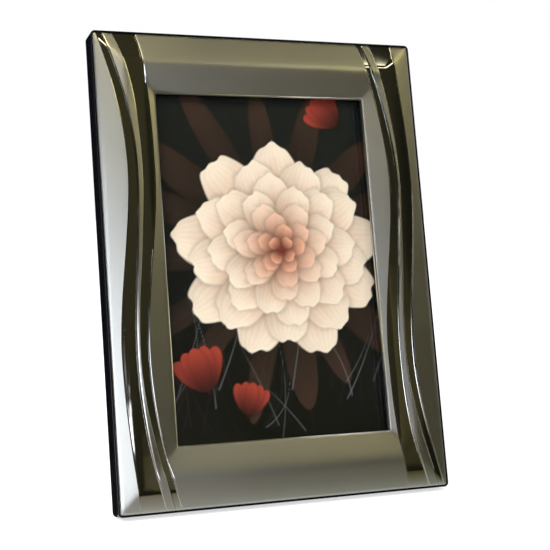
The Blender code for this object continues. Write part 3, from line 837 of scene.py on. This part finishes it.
# How its light is shared out over its base, tip, veins, sides and rim, when lit from an angle in radians.
BASE_LIGHT = 0.68
TIP_LIGHT = 0.34
TIP_LIGHT_POWER = 0.8
VEIN_LIGHT = 0.035
VEIN_COUNT = 26
VEIN_START = 0.25
VEIN_WAVES = 9
VEIN_SWAY = 1.5
SIDE_LIGHT = 0.12
SIDE_SHADE = 0.10
RIM_LIGHT = 0.10
RIM_START = 0.35
LIGHT_ANGLE = 2.2

# How soon its base colour turns to the colour of its tip, and how fast a stroke thins.
TIP_RISE = 1.15
TIP_POWER = 1.3
STROKE_POWER = 0.7


def between(first, second, share):
    """A colour that is a share of the way from one to another."""
    return np.asarray(first) * (1 - share) + np.asarray(second) * share


class Painting:
    """A picture laid down petal by petal, from the back to the front, on points given in metres."""

    def __init__(self, x, z, colour):
        self.x = x
        self.z = z
        self.colour = colour

    def lay(self, colour, share):
        """Puts a colour over the picture where share is 1."""
        self.colour = between(self.colour, colour, np.clip(share, 0, 1)[:, None])

    def petal(self, root, angle, length, width, base, tip, blunt=2.6, ruffle=0.0, shade=0.45):
        """One petal with a drop shadow, a darker base, fine veins and a light rim."""
        dx = self.x - root[0]
        dz = self.z - root[1]
        along = (dx * math.cos(angle) + dz * math.sin(angle)) / length
        across = (dz * math.cos(angle) - dx * math.sin(angle)) / (width / 2)
        waves = [high * np.sin(across * count + angle * shift) for high, count, shift in RUFFLES]
        wave = ruffle * sum(waves)
        reach = np.clip(along - wave, 0, 1)
        outline = PETAL_SWELL * np.maximum(reach, LEAST_REACH) ** ROOT_POWER
        outline *= np.sqrt(np.maximum(1 - reach**blunt, 0))
        clear = (outline - np.abs(across)) * width / 2
        ahead = (1 - (along - wave)) * length
        inside = np.minimum(np.minimum(clear, ahead), along * length + PETAL_EDGE)
        cast = np.clip((inside + SHADOW_REACH) / SHADOW_FADE, 0, 1)
        self.colour *= (1 - shade * cast * cast)[:, None]
        side = across / np.maximum(outline, LEAST_OUTLINE)
        sway = VEIN_SWAY * np.sin(along * VEIN_WAVES + angle)
        veins = np.sin(side * VEIN_COUNT + sway) * (VEIN_START + (1 - VEIN_START) * reach)
        light = BASE_LIGHT + TIP_LIGHT * reach**TIP_LIGHT_POWER + VEIN_LIGHT * veins
        light += SIDE_LIGHT * side * math.sin(angle - LIGHT_ANGLE) - SIDE_SHADE * side**4
        light += RIM_LIGHT * np.clip(1 - inside / RIM_WIDTH, 0, 1) * (reach > RIM_START)
        depth = np.clip(reach * TIP_RISE, 0, 1)[:, None] ** TIP_POWER
        colour = between(base, tip, depth) * light[:, None]
        self.lay(np.clip(colour, 0, 1), inside / PETAL_EDGE + 0.5)

    def stroke(self, start, end, colour, bow, width, strength):
        """A fine bowed line that thins towards its end."""
        start = np.asarray(start)
        run = np.asarray(end) - start
        length = float(np.hypot(*run))
        ux, uz = run / length
        along = ((self.x - start[0]) * ux + (self.z - start[1]) * uz) / length
        across = (self.z - start[1]) * ux - (self.x - start[0]) * uz
        offset = across - bow * 4 * along * (1 - along)
        thick = width * np.clip(1 - along, 0, 1) ** STROKE_POWER
        share = np.clip(1 - np.abs(offset) / np.maximum(thick, CLOSE), 0, 1)
        self.lay(colour, strength * share * (along > 0) * (along < 1))


# The print: one cream bloom on a dark ground, with brick-red buds, dark leaves and grey stalks.
GROUND = (0.0045, 0.0060, 0.0065)
LEAF_DARK = (0.006, 0.007, 0.006)
LEAF_LIGHT = (0.050, 0.024, 0.016)
PETAL_TIP = (0.98, 0.80, 0.64)
PETAL_BASE = (0.66, 0.30, 0.16)
HEART_TIP = (0.80, 0.38, 0.24)
HEART_BASE = (0.24, 0.035, 0.02)
BUD_TIP = (0.42, 0.045, 0.025)
BUD_BASE = (0.07, 0.008, 0.006)
GLINT = (0.20, 0.21, 0.22)
BLOOM = (0.006, 0.007)
LEAVES = 16
LEAF_ROOT = 0.012
LEAF_BLUNT = 1.3
LEAF_SHADE = 0.5
RIB_SHARE = 0.92
STALKS = 46
STALK_WIDTH = 0.0005
STAMENS = 9
STAMEN_LENGTH = 0.0028
PETAL_RUFFLE = 0.02
PRINT_SEED = 11

# The ground lightens to the right and upwards over these lengths, from its least light.
GROUND_REACH = (0.2, 0.15)
GROUND_LEAST = 0.5
GROUND_SPREAD = 1.1

# The bow, width and strength of a leaf's rib and of a stamen.
RIB = (0.001, 0.0007, 0.8)
STAMEN = (0.0002, 0.0005, 0.9)

# What is left to chance, as the least that it can be and how far it goes beyond that.
LEAF_STRAY = (0, 0.4)
LEAF_LENGTH = (0.052, 0.028)
LEAF_WIDTH = (0.017, 0.008)
STALK_ACROSS = (-0.055, 0.11)
STALK_UP = (-0.078, 0.03)
STALK_LEAN = (-0.025, 0.05)
STALK_RISE = (0.02, 0.03)
STALK_BOW = (-0.004, 0.008)
STALK_STRENGTH = (0.35, 0.3)
PETAL_STRAY = (-3.5, 7)
PETAL_GROWTH = (0.95, 0.10)

# Each bud's place, turn in radians and size, then the turns and the width of its petals.
BUDS = (((-0.031, -0.052), 1.9, 0.019), ((-0.015, -0.063), 1.3, 0.014), ((0.037, 0.063), 2.4, 0.016))
BUD_SPREADS = (-0.55, 0.55, -0.25, 0.25, 0.0)
BUD_WIDTH = 0.62
BUD_BLUNT = 1.7
BUD_SHADE = 0.4

# Rings of the bloom from the back to the front: petals, reach, length, width, first turn in degrees.
BLOOM_RINGS = (
    (9, 0.047, 0.041, 0.031, 10),
    (9, 0.041, 0.036, 0.028, 31),
    (8, 0.034, 0.030, 0.024, 4),
    (8, 0.0275, 0.0245, 0.020, 26),
    (7, 0.0215, 0.0195, 0.0165, 12),
    (6, 0.0160, 0.0150, 0.0135, 40),
    (5, 0.0110, 0.0105, 0.0105, 8),
    (4, 0.0065, 0.0062, 0.0075, 50),
)
HEART_REACH = 0.006
HEART_FADE = 0.024


def beyond(place, turn, reach):
    """The point at a distance from a place, in a direction."""
    return (place[0] + reach * math.cos(turn), place[1] + reach * math.sin(turn))


def bloom_picture(x, z):
    """Colours of the print at points from its centre."""
    draw = np.random.default_rng(PRINT_SEED)

    def chance(least, spread):
        return least + spread * draw.random()

    sweep = np.clip(0.5 + z / GROUND_REACH[1] + x / GROUND_REACH[0], 0, 1)[:, None]
    picture = Painting(x, z, np.asarray(GROUND) * (GROUND_LEAST + GROUND_SPREAD * sweep))
    for number in range(LEAVES):
        turn = math.tau * (number + chance(*LEAF_STRAY)) / LEAVES
        root = beyond(BLOOM, turn, LEAF_ROOT)
        length = chance(*LEAF_LENGTH)
        leaf = (length, chance(*LEAF_WIDTH), LEAF_DARK, LEAF_LIGHT)
        picture.petal(root, turn, *leaf, blunt=LEAF_BLUNT, shade=LEAF_SHADE)
        picture.stroke(root, beyond(root, turn, length * RIB_SHARE), LEAF_LIGHT, *RIB)
    for number in range(STALKS):
        start = (chance(*STALK_ACROSS), chance(*STALK_UP))
        end = (start[0] + chance(*STALK_LEAN), start[1] + chance(*STALK_RISE))
        tone = LEAF_LIGHT if number % 3 else GLINT
        picture.stroke(start, end, tone, chance(*STALK_BOW), STALK_WIDTH, chance(*STALK_STRENGTH))
    for bud, turn, size in BUDS:
        for spread in BUD_SPREADS:
            petal = (size, size * BUD_WIDTH, BUD_BASE, BUD_TIP)
            picture.petal(bud, turn + spread, *petal, blunt=BUD_BLUNT, shade=BUD_SHADE)
    for count, reach, length, width, first in BLOOM_RINGS:
        heart = 1 - smooth_step((reach - HEART_REACH) / HEART_FADE)
        base = between(PETAL_BASE, HEART_BASE, heart)
        tip = between(PETAL_TIP, HEART_TIP, heart)
        for number in draw.permutation(count):
            turn = math.radians(first + 360 * number / count + chance(*PETAL_STRAY))
            grown = chance(*PETAL_GROWTH)
            root = beyond(BLOOM, turn, reach - length)
            picture.petal(root, turn, length * grown, width * grown, base, tip, ruffle=PETAL_RUFFLE)
    for number in range(STAMENS):
        end = beyond(BLOOM, math.tau * number / STAMENS, STAMEN_LENGTH)
        picture.stroke(BLOOM, end, HEART_BASE, *STAMEN)
    return np.clip(picture.colour, 0, 1)


def flower_print():
    """The print behind the glass, with its picture as colours on a fine grid."""
    bm = bmesh.new()
    bmesh.ops.create_grid(bm, x_segments=PRINT_COLUMNS, y_segments=PRINT_ROWS, size=0.5)
    bmesh.ops.scale(bm, vec=(PRINT_WIDTH, PRINT_HEIGHT, 1), verts=bm.verts)
    rim, verts = extended(bm, [edge for edge in bm.edges if edge.is_boundary])
    bmesh.ops.translate(bm, vec=(0, 0, -PRINT_THICKNESS), verts=verts)
    bmesh.ops.holes_fill(bm, edges=rim, sides=0)
    places = np.array([vert.co[:2] for vert in bm.verts])
    colours = bloom_picture(places[:, 0], places[:, 1])
    upright = Matrix.Translation((0, PRINT_Y, middle_z())) @ Matrix.Rotation(math.pi / 2, 4, "X")
    bmesh.ops.transform(bm, matrix=upright, verts=bm.verts)
    piece = to_piece("flower_print", bm, STAND, [glossy_paper], "frame", "photo_paper", "photo_print")
    picture = piece.data.color_attributes.new("picture", "FLOAT_COLOR", "POINT")
    picture.data.foreach_set("color", np.c_[colours, np.ones(len(colours))].astype(np.float32).ravel())


def velvet_back():
    """The flocked cloth on the back board, its cut edges soft."""
    centre = middle_z()
    width = BOARD_WIDTH - 2 * VELVET_MARGIN
    height = BOARD_HEIGHT - 2 * VELVET_MARGIN
    outline = rounded_rectangle(width / 2, height / 2, VELVET_CORNER)
    bm = bmesh.new()
    slab(bm, [(x, VELVET_Y, centre + z) for x, z in outline], (0, VELVET, 0))
    soften(bm, VELVET_EDGE)
    riding = ("frame", "black_velvet", "back_velvet")
    piece = to_piece("velvet_back", bm, STAND, [flocked_velvet], *riding, smooth_below=60)


def foot_drop(y, lift=0.0):
    """How far below the pin the leg ends at depth y, so that it stands flat when open."""
    pivot_height = (STAND @ PIVOT).z
    return (pivot_height - lift + y * math.sin(FOOT_TILT)) / math.cos(FOOT_TILT)


def leg_slab(front, thickness, margin=0.0, lift=0.0):
    """A tapered slab hanging from the pin, its foot cut to lie level when the leg is open."""
    slope = (STRUT_FOOT - STRUT_TOP) / 2 / (foot_drop(0) - STRUT_TOP_DROP)
    radii = (STRUT_CORNER, STRUT_CORNER)
    rings = []
    for y in (front, front + thickness):
        drop = foot_drop(y, lift)
        foot = STRUT_TOP / 2 + slope * (drop - STRUT_TOP_DROP) - margin
        top = STRUT_TOP / 2 + slope * (margin + STRUT_CORNER) - margin
        corner = arc((top - STRUT_CORNER, -STRUT_CORNER - STRUT_TOP_DROP - margin), radii, 0, 90)
        right = [(foot, -drop), *corner]
        rings.append([(x, y, z) for x, z in right + [(-x, z) for x, z in reversed(right)]])
    bm = bmesh.new()
    loft(bm, rings, closed=False)
    return bm


def leg_board():
    """The leg's fibreboard, its edges eased."""
    bm = leg_slab(PIN_HOLE - GAP - VELVET - GAP - STRUT, STRUT)
    soften(bm, STRUT_EDGE)
    to_piece("leg_board", bm, LEG, [hardboard], "leg", "fibreboard", "strut")


def leg_velvet():
    """The flocked cloth on the leg."""
    front = PIN_HOLE - GAP - VELVET
    bm = leg_slab(front, VELVET, VELVET_MARGIN, FOOT_CLEAR)
    soften(bm, VELVET_EDGE)
    riding = ("leg", "black_velvet", "strut_velvet")
    piece = to_piece("leg_velvet", bm, LEG, [flocked_velvet], *riding, smooth_below=60)


def button_places():
    """Place across, place up and turn of each button. At turn 0 it reaches down."""
    centre = middle_z()
    places = []
    for side in (-1, 1):
        for level in (1, -1):
            places.append((side * SIDE_BUTTON_X, centre + level * SIDE_BUTTON_SPREAD, side * math.pi / 2))
    return [*places, (0, centre + TOP_BUTTON_RISE, 0)]


def turn_button(number, x, z, turn):
    """A stamped tab with round ends, an eased edge and a hole for its screw."""
    ends = (BUTTON_RADIUS, BUTTON_RADIUS)
    outer = arc((0, 0), ends, 0, 180, BUTTON_STEPS - 1)
    outer += arc((0, -BUTTON_REACH), ends, 180, 360, BUTTON_STEPS - 1)
    hole = arc((0, 0), (BUTTON_HOLE, BUTTON_HOLE), 0, 360, len(outer))[:-1]
    sides = ((outer, 0), (outer, BUTTON), (hole, BUTTON), (hole, 0))
    bm = bmesh.new()
    loft(bm, [[(across, y, up) for across, up in points] for points, y in sides])
    soften(bm, BUTTON_EDGE, segments=2, above=60)
    place = STAND @ Matrix.Translation((x, BUTTON_Y, z)) @ Matrix.Rotation(turn, 4, "Y")
    name = f"stamped_button_{number}"
    to_piece(name, bm, place, [bright_brass], f"button_{number}", "brass_plate", f"turn_button_{number}")


def cross_screw(number, x, z):
    """A domed screw with a cross recess sunk in its head."""
    base = BUTTON_Y + BUTTON + GAP
    tip = base - SCREW_LENGTH
    profile = [(0, tip), (SCREW_TIP, tip), (SCREW_SHANK, tip + SCREW_TAPER), (SCREW_SHANK, base)]
    profile += arc((0, base), (SCREW_HEAD, SCREW_DOME), 0, 90)
    bm = bmesh.new()
    turned(bm, profile, (0, 0, 0), (0, 1, 0), steps=48)
    for vert in bm.verts:
        across, depth, up = vert.co
        rim = max(1 - max(abs(across), abs(up)) / SLOT_REACH, 0)
        if depth > base + SLOT_RISE and rim > 0:
            off_slot = smooth_step((min(abs(across), abs(up)) / SLOT_WIDTH - SLOT_WALL) / SLOT_WALL)
            vert.co.y -= SLOT_DEPTH * smooth_step(rim / SLOT_FADE) * (1 - off_slot)
    turn = Matrix.Rotation(SCREW_TURN + SCREW_TURN_STEP * number, 4, "Y")
    place = STAND @ Matrix.Translation((x, 0, z)) @ turn
    name = f"cross_screw_{number}"
    to_piece(name, bm, place, [bright_brass], "frame", "brass_plate", f"button_screw_{number}")


def ear(bm, x, radius, root_y, facing):
    """A hinge ear: a flat tab that is round about the pin, with the pin's hole in it."""
    outline = [(root_y, -radius), (root_y, radius)]
    outline += [(facing * y, z) for y, z in arc((0, 0), (radius, radius), 90, -90, EAR_STEPS)]
    hole = []
    for y, z in outline:
        angle = math.atan2(z, y)
        hole.append((PIN_HOLE * math.cos(angle), PIN_HOLE * math.sin(angle)))
    sides = ((outline, x), (outline, x + LEAF), (hole, x + LEAF), (hole, x))
    loft(bm, [[(across, y, z) for y, z in points] for points, across in sides])


def hinge_plate(name, outline, front, half, radius, facing, matrix, body, node):
    """A stamped leaf whose two ears are bent up to the pin, to the back where facing is 1, or the front."""
    bm = bmesh.new()
    slab(bm, [(x, front, z) for x, z in outline], (0, LEAF, 0))
    for x in (-half, half - LEAF):
        ear(bm, x, radius, front + LEAF / 2, facing)
    soften(bm, LEAF_EDGE, segments=2, above=60)
    to_piece(name, bm, matrix, [dull_nickel], body, "plated_steel", node)


def board_plate():
    """The hinge leaf on the back board."""
    half = EAR_SPAN / 2
    radii = (LEAF_CORNER, LEAF_CORNER)
    inner = half - LEAF_CORNER
    top = LEAF_RISE - LEAF_CORNER
    outline = [(-half, -EAR_RADIUS), (half, -EAR_RADIUS)]
    outline += arc((inner, top), radii, 0, 90) + arc((-inner, top), radii, 90, 180)
    front = LEAF_BACK - LEAF - PIVOT.y
    hinge_plate("board_plate", outline, front, half, EAR_RADIUS, 1, HINGE, "frame", "board_leaf")


def leg_plate():
    """The hinge leaf on the leg, with the heel that stops it."""
    half = EAR_SPAN / 2 - LEAF - CHEEK_GAP
    wall = LEAF_BACK + GAP - PIVOT.y
    rise = (PIN_HOLE * math.cos(OPEN_ANGLE) - wall) / math.sin(OPEN_ANGLE)
    heel = HEEL_WIDTH / 2
    outline = [
        (-half, -LEAF_DROP),
        (half, -LEAF_DROP),
        (half, CHEEK_RADIUS),
        (heel, CHEEK_RADIUS),
        (heel, rise),
        (-heel, rise),
        (-heel, CHEEK_RADIUS),
        (-half, CHEEK_RADIUS),
    ]
    hinge_plate("leg_plate", outline, PIN_HOLE, half, CHEEK_RADIUS, -1, LEG, "leg", "strut_leaf")


def headed_pin():
    """The pin through the ears, with a riveted head at each end."""
    inner = EAR_SPAN / 2 + GAP
    outer = inner + PIN_HEAD_LENGTH
    half = arc((0, inner), (PIN_HEAD, PIN_HEAD_LENGTH), 90, 0, steps=6) + [(PIN, inner)]
    profile = [(r, -h) for r, h in half] + list(reversed(half))
    profile[0] = (0, -outer)
    profile[-1] = (0, outer)
    bm = bmesh.new()
    turned(bm, profile, (0, 0, 0), (1, 0, 0))
    to_piece("headed_pin", bm, HINGE, [dull_nickel], "frame", "plated_steel", "hinge_pin")


def domed_rivet(name, x, z, leaf_back, matrix, body, node):
    """A rivet with a domed head and a set ring round it."""
    base = leaf_back + GAP
    tip = leaf_back - LEAF - VELVET - 2 * GAP - RIVET_BITE
    head = arc((0, base), (RIVET_HEAD, RIVET_DOME), 0, 90)
    bm = bmesh.new()
    turned(bm, [(0, tip), (RIVET, tip), (RIVET, base)] + head, (x, 0, z), (0, 1, 0))
    to_piece(name, bm, matrix, [dull_nickel], body, "plated_steel", node)


# Light that the metal mirrors: soft boxes in a dim room, each with azimuth, elevation, width, how sharp its
# edge is, and colour. An azimuth of 0 is straight in front of the face, and grows to the viewer's right.
ROOM_LIGHTS = (
    (-2.8, 9.5, 5.9, 5, (2.2, 2.2, 2.45)),
    (-20.1, 14.2, 8.3, 2, (6.4, 6.9, 7.7)),
    (31.9, 40.5, 4.0, 2, (2.45, 2.35, 1.6)),
    (46.1, 37.1, 4.0, 2, (5.9, 5.05, 1.85)),
    (68.0, 45.0, 3.5, 2, (3.0, 2.9, 2.6)),
    (82.0, 30.0, 5.0, 2, (2.0, 1.9, 1.6)),
    (85.0, 19.0, 5.0, 2, (1.6, 1.55, 1.3)),
    (84.0, 7.0, 5.0, 2, (1.5, 1.45, 1.2)),
    (-52.0, 44.0, 4.0, 2, (3.0, 3.0, 3.0)),
    (-56.0, 29.0, 3.0, 2, (3.0, 3.0, 3.0)),
    (-104.0, 3.0, 14.0, 2, (3.2, 3.2, 3.3)),
    (-16.1, 64.8, 5.2, 2, (6.05, 5.6, 3.3)),
    (-6.0, 49.0, 5.7, 2, (6.35, 5.6, 3.65)),
    (7.3, 37.3, 23.3, 2, (0.025, 0.022, 0.010)),
    (24.1, 14.4, 7.9, 2, (0.046, 0.038, 0.016)),
    (15.5, 9.0, 4.5, 4, (0.056, 0.049, 0.025)),
    (150.0, 42.0, 30.0, 2, (0.9, 0.88, 0.82)),
    (190.0, 12.0, 35.0, 2, (0.50, 0.49, 0.46)),
)
ROOM_DARK = (0.0095, 0.0095, 0.006)
ROOM_RADIUS = 1.6

# The table as shiny surfaces see it, as glowing planes of painted reflection: dark cloth, a light card
# behind, and in front a grey card with painted light, lighter at the frame's foot and in a spot to the left.
# The cards lie just above the floor.
TABLE_REACH = 1.6
CLOTH_RISE = 0.0003
REAR_CARD = 0.06
REAR_COLOUR = (0.42, 0.41, 0.38, 1)
CARD_RISE = 0.0006
CARD_END = -0.030
CARD_COLOUR = (0.064, 0.054, 0.014)
FOOT_LINE = -0.034
FOOT_REACH = 0.014
PAINTED_FOOT_LIGHT = (0.48, 0.53, 0.54)
SPOT = (-0.25, -0.15)
SPOT_REACH = 0.2
PAINTED_SPOT_LIGHT = (0.34, 0.325, 0.352)
WING_Y = 0.055
WING_START = 0.070
WING_REACH = 0.6
WING_HEIGHT = 0.3

# The floor, the lamp and the camera
FLOOR_COLOUR = (0.80, 0.80, 0.80, 1)
FLOOR_REACH = 6
LAMP_SIZE = (0.7, 0.5)
LAMP_COLOUR = (1.0, 0.99, 0.97)
LAMP_PLACE = Vector((-0.75, -0.75, 0.75))
LAMP_TARGET = Vector((0, 0, 0.09))
CAMERA_PLACE = Vector((-0.18873, -0.49828, 0.12771))
CAMERA_AIM = Vector((0.3639, 0.9293, -0.0633))
SENSOR_WIDTH = 36


def stage_piece(name, bm, material, seen=False):
    """Part of the stage. Unless it is seen, only glossy rays meet it."""
    piece = to_object(name, bm, [material])
    piece.visible_camera = seen
    piece.visible_diffuse = seen
    piece.visible_transmission = seen
    piece.visible_shadow = seen


def room_shell():
    """A dim room that only shiny surfaces see: a globe lit by soft boxes."""
    made = Finish("room_light")
    direction = made.vectors("NORMALIZE", {0: made.place()})
    colour = ROOM_DARK
    for azimuth, elevation, width, sharpness, light in ROOM_LIGHTS:
        turn = math.radians(azimuth)
        tilt = math.radians(elevation)
        aim = (math.sin(turn) * math.cos(tilt), -math.cos(turn) * math.cos(tilt), math.sin(tilt))
        facing = made.vectors("DOT_PRODUCT", {0: direction, 1: aim}, "Value")
        away = (1 - facing) / (1 - math.cos(math.radians(width)))
        colour = made.lit(colour, light, (-(away**sharpness)).exp())
    bm = bmesh.new()
    bmesh.ops.create_uvsphere(bm, u_segments=64, v_segments=32, radius=ROOM_RADIUS)
    stage_piece("room_shell", bm, made.end(made.glow(colour)))


def background_rays(made):
    """1 for the rays that show the background: straight to the camera, mirrored, or through glass."""
    names = ("Is Camera Ray", "Is Glossy Ray", "Is Transmission Ray")
    straight, mirrored, through = [made.node("ShaderNodeLightPath", output=name) for name in names]
    return straight.most(mirrored).most(through)


def pale_floor():
    """A white table whose white partly glows, so that the object's shadow on it stays light."""
    made = Finish("pale_floor")
    matt = made.node("ShaderNodeBsdfDiffuse", {}, {"Color": FLOOR_COLOUR})
    glow = made.glow(WHITE, background_rays(made) * bpy.context.scene.stage_light.floor_glow)
    bm = bmesh.new()
    bmesh.ops.create_grid(bm, x_segments=1, y_segments=1, size=FLOOR_REACH)
    material = made.end(made.node("ShaderNodeAddShader", {}, {0: matt, 1: glow}))
    stage_piece("pale_floor", bm, material, seen=True)


def table_part(made, colour, near, far, rise):
    """A flat part of the table that only shiny surfaces see, given how near and far it reaches."""
    bm = bmesh.new()
    bmesh.ops.create_grid(bm, x_segments=1, y_segments=1, size=1)
    bmesh.ops.scale(bm, vec=(TABLE_REACH, (far - near) / 2, 1), verts=bm.verts)
    bmesh.ops.translate(bm, vec=(0, (near + far) / 2, rise), verts=bm.verts)
    stage_piece(made.data.name, bm, made.end(made.glow(colour)))


def table_cards():
    """Keep the white table out of the metal's reflections."""
    table_part(Finish("dark_cloth"), (*ROOM_DARK, 1), -TABLE_REACH, REAR_CARD, CLOTH_RISE)
    table_part(Finish("rear_card"), REAR_COLOUR, REAR_CARD, TABLE_REACH, CLOTH_RISE)
    made = Finish("grey_card")
    where = made.place()
    x, y = [made.node("ShaderNodeSeparateXYZ", {}, {0: where}, axis) for axis in "XY"]
    away_x = (x - SPOT[0]) / SPOT_REACH
    away_y = (y - SPOT[1]) / SPOT_REACH
    # Painted light on the grey card: a pool of light to the left, and a lighter strip at the frame's foot.
    colour = made.lit(CARD_COLOUR, PAINTED_SPOT_LIGHT, (-(away_x * away_x + away_y * away_y)).exp())
    colour = made.lit(colour, PAINTED_FOOT_LIGHT, ((y - FOOT_LINE) / FOOT_REACH).exp())
    table_part(made, colour, -TABLE_REACH, CARD_END, CARD_RISE)


def dark_wing():
    """A dark board behind the left corner that keeps the rear card out of the body's side."""
    made = Finish("dark_wing")
    corners = ((-WING_REACH, 0), (-WING_START, 0), (-WING_START, WING_HEIGHT), (-WING_REACH, WING_HEIGHT))
    bm = bmesh.new()
    bm.faces.new([bm.verts.new((x, WING_Y, z)) for x, z in corners])
    stage_piece("dark_wing", bm, made.end(made.glow(BLACK)))


def studio_world():
    """A white world behind the object that lights matt surfaces at a plain level."""
    made = Finish("studio_world", bpy.data.worlds)
    shown = background_rays(made)
    strength = shown + (1 - shown) * bpy.context.scene.stage_light.ambient
    world = made.node("ShaderNodeBackground", {}, {"Color": WHITE, "Strength": strength})
    made.node("ShaderNodeOutputWorld", {}, {"Surface": world})
    bpy.context.scene.world = made.data


def aimed(name, data, place, aim):
    """A lamp or camera at a place, turned along a direction."""
    made = bpy.data.objects.new(name, data)
    made.location = place
    made.rotation_mode = "QUATERNION"
    made.rotation_quaternion = aim.to_track_quat("-Z", "Y")
    bpy.context.scene.collection.objects.link(made)
    return made


def key_lamp():
    """A large soft lamp on the left, above the camera. Shiny surfaces see the room shell instead."""
    lamp = bpy.data.lights.new("key_lamp", "AREA")
    lamp.shape = "RECTANGLE"
    lamp.size, lamp.size_y = LAMP_SIZE
    lamp.energy = bpy.context.scene.stage_light.key_power
    lamp.color = LAMP_COLOUR
    aimed("key_lamp", lamp, LAMP_PLACE, LAMP_TARGET - LAMP_PLACE).visible_glossy = False


def camera():
    """The photograph's viewpoint."""
    data = bpy.data.cameras.new("camera")
    data.lens = bpy.context.scene.stage_light.lens
    data.sensor_width = SENSOR_WIDTH
    bpy.context.scene.camera = aimed("camera", data, CAMERA_PLACE, CAMERA_AIM)


class FaceOperator(bpy.types.Operator):
    """Build the pressed silver sheet"""

    bl_idname = "photo_frame.face"
    bl_label = "Face sheet"

    def execute(self, context):
        face_sheet()
        return {"FINISHED"}


class BodyOperator(bpy.types.Operator):
    """Build the lacquered body"""

    bl_idname = "photo_frame.body"
    bl_label = "Body"

    def execute(self, context):
        body_moulding()
        return {"FINISHED"}


class WindowOperator(bpy.types.Operator):
    """Dress the glass and build the print behind it"""

    bl_idname = "photo_frame.window"
    bl_label = "Glass and print"

    def execute(self, context):
        dress_node("glass_pane", float_glass)
        flower_print()
        return {"FINISHED"}


class BackOperator(bpy.types.Operator):
    """Dress the card and the board, and build the velvet on the back"""

    bl_idname = "photo_frame.back"
    bl_label = "Back"

    def execute(self, context):
        dress_node("backing_card", pulp_card)
        dress_node("back_board", hardboard)
        velvet_back()
        return {"FINISHED"}


class ButtonsOperator(bpy.types.Operator):
    """Build the turn buttons and their screws"""

    bl_idname = "photo_frame.buttons"
    bl_label = "Turn buttons"

    def execute(self, context):
        for number, (x, z, turn) in enumerate(button_places(), 1):
            turn_button(number, x, z, turn)
            cross_screw(number, x, z)
        return {"FINISHED"}


class LegOperator(bpy.types.Operator):
    """Build the easel leg and its velvet"""

    bl_idname = "photo_frame.leg"
    bl_label = "Leg"

    def execute(self, context):
        leg_board()
        leg_velvet()
        return {"FINISHED"}


class HingeOperator(bpy.types.Operator):
    """Build the hinge leaves, the pin and the rivets"""

    bl_idname = "photo_frame.hinge"
    bl_label = "Hinge"

    def execute(self, context):
        board_plate()
        leg_plate()
        headed_pin()
        for side, x in (("left", -BOARD_RIVET_SPREAD), ("right", BOARD_RIVET_SPREAD)):
            place = (x, BOARD_RIVET_RISE, LEAF_BACK - PIVOT.y)
            domed_rivet(f"domed_rivet_{side}", *place, HINGE, "frame", f"board_rivet_{side}")
        for level, drop in zip(("upper", "lower"), STRUT_RIVET_DROPS):
            place = (0, -drop, PIN_HOLE + LEAF)
            domed_rivet(f"domed_rivet_{level}", *place, LEG, "leg", f"strut_rivet_{level}")
        return {"FINISHED"}


class StageOperator(bpy.types.Operator):
    """Build the floor, the light and the camera"""

    bl_idname = "photo_frame.stage"
    bl_label = "Stage"

    def execute(self, context):
        studio_world()
        pale_floor()
        table_cards()
        dark_wing()
        room_shell()
        key_lamp()
        camera()
        context.scene.view_settings.view_transform = "Standard"
        return {"FINISHED"}


OPERATORS = (
    FaceOperator,
    BodyOperator,
    WindowOperator,
    BackOperator,
    ButtonsOperator,
    LegOperator,
    HingeOperator,
    StageOperator,
)


class FramePanel(bpy.types.Panel):
    """Lists the sizes, finishes and pieces of the photo frame"""

    bl_idname = "VIEW3D_PT_photo_frame"
    bl_label = "Photo frame"
    bl_space_type = "VIEW_3D"
    bl_region_type = "UI"
    bl_category = "Photo frame"

    def draw(self, context):
        for operator in OPERATORS:
            self.layout.operator(operator.bl_idname)
        for group in (context.scene.frame_sizes, context.scene.frame_finishes, context.scene.stage_light):
            box = self.layout.box()
            for name in group.__annotations__:
                box.prop(group, name)


GROUPS = (("frame_sizes", FrameSizes), ("frame_finishes", FrameFinishes), ("stage_light", StageLight))


def register():
    for name, group in GROUPS:
        bpy.utils.register_class(group)
        setattr(bpy.types.Scene, name, bpy.props.PointerProperty(type=group))
    for made in (*OPERATORS, FramePanel):
        bpy.utils.register_class(made)


def unregister():
    for made in reversed((*OPERATORS, FramePanel)):
        bpy.utils.unregister_class(made)
    for name, group in reversed(GROUPS):
        delattr(bpy.types.Scene, name)
        bpy.utils.unregister_class(group)


def main():
    register()
    for operator in OPERATORS:
        family, name = operator.bl_idname.split(".")
        getattr(getattr(bpy.ops, family), name)()


if __name__ == "__main__":
    main()
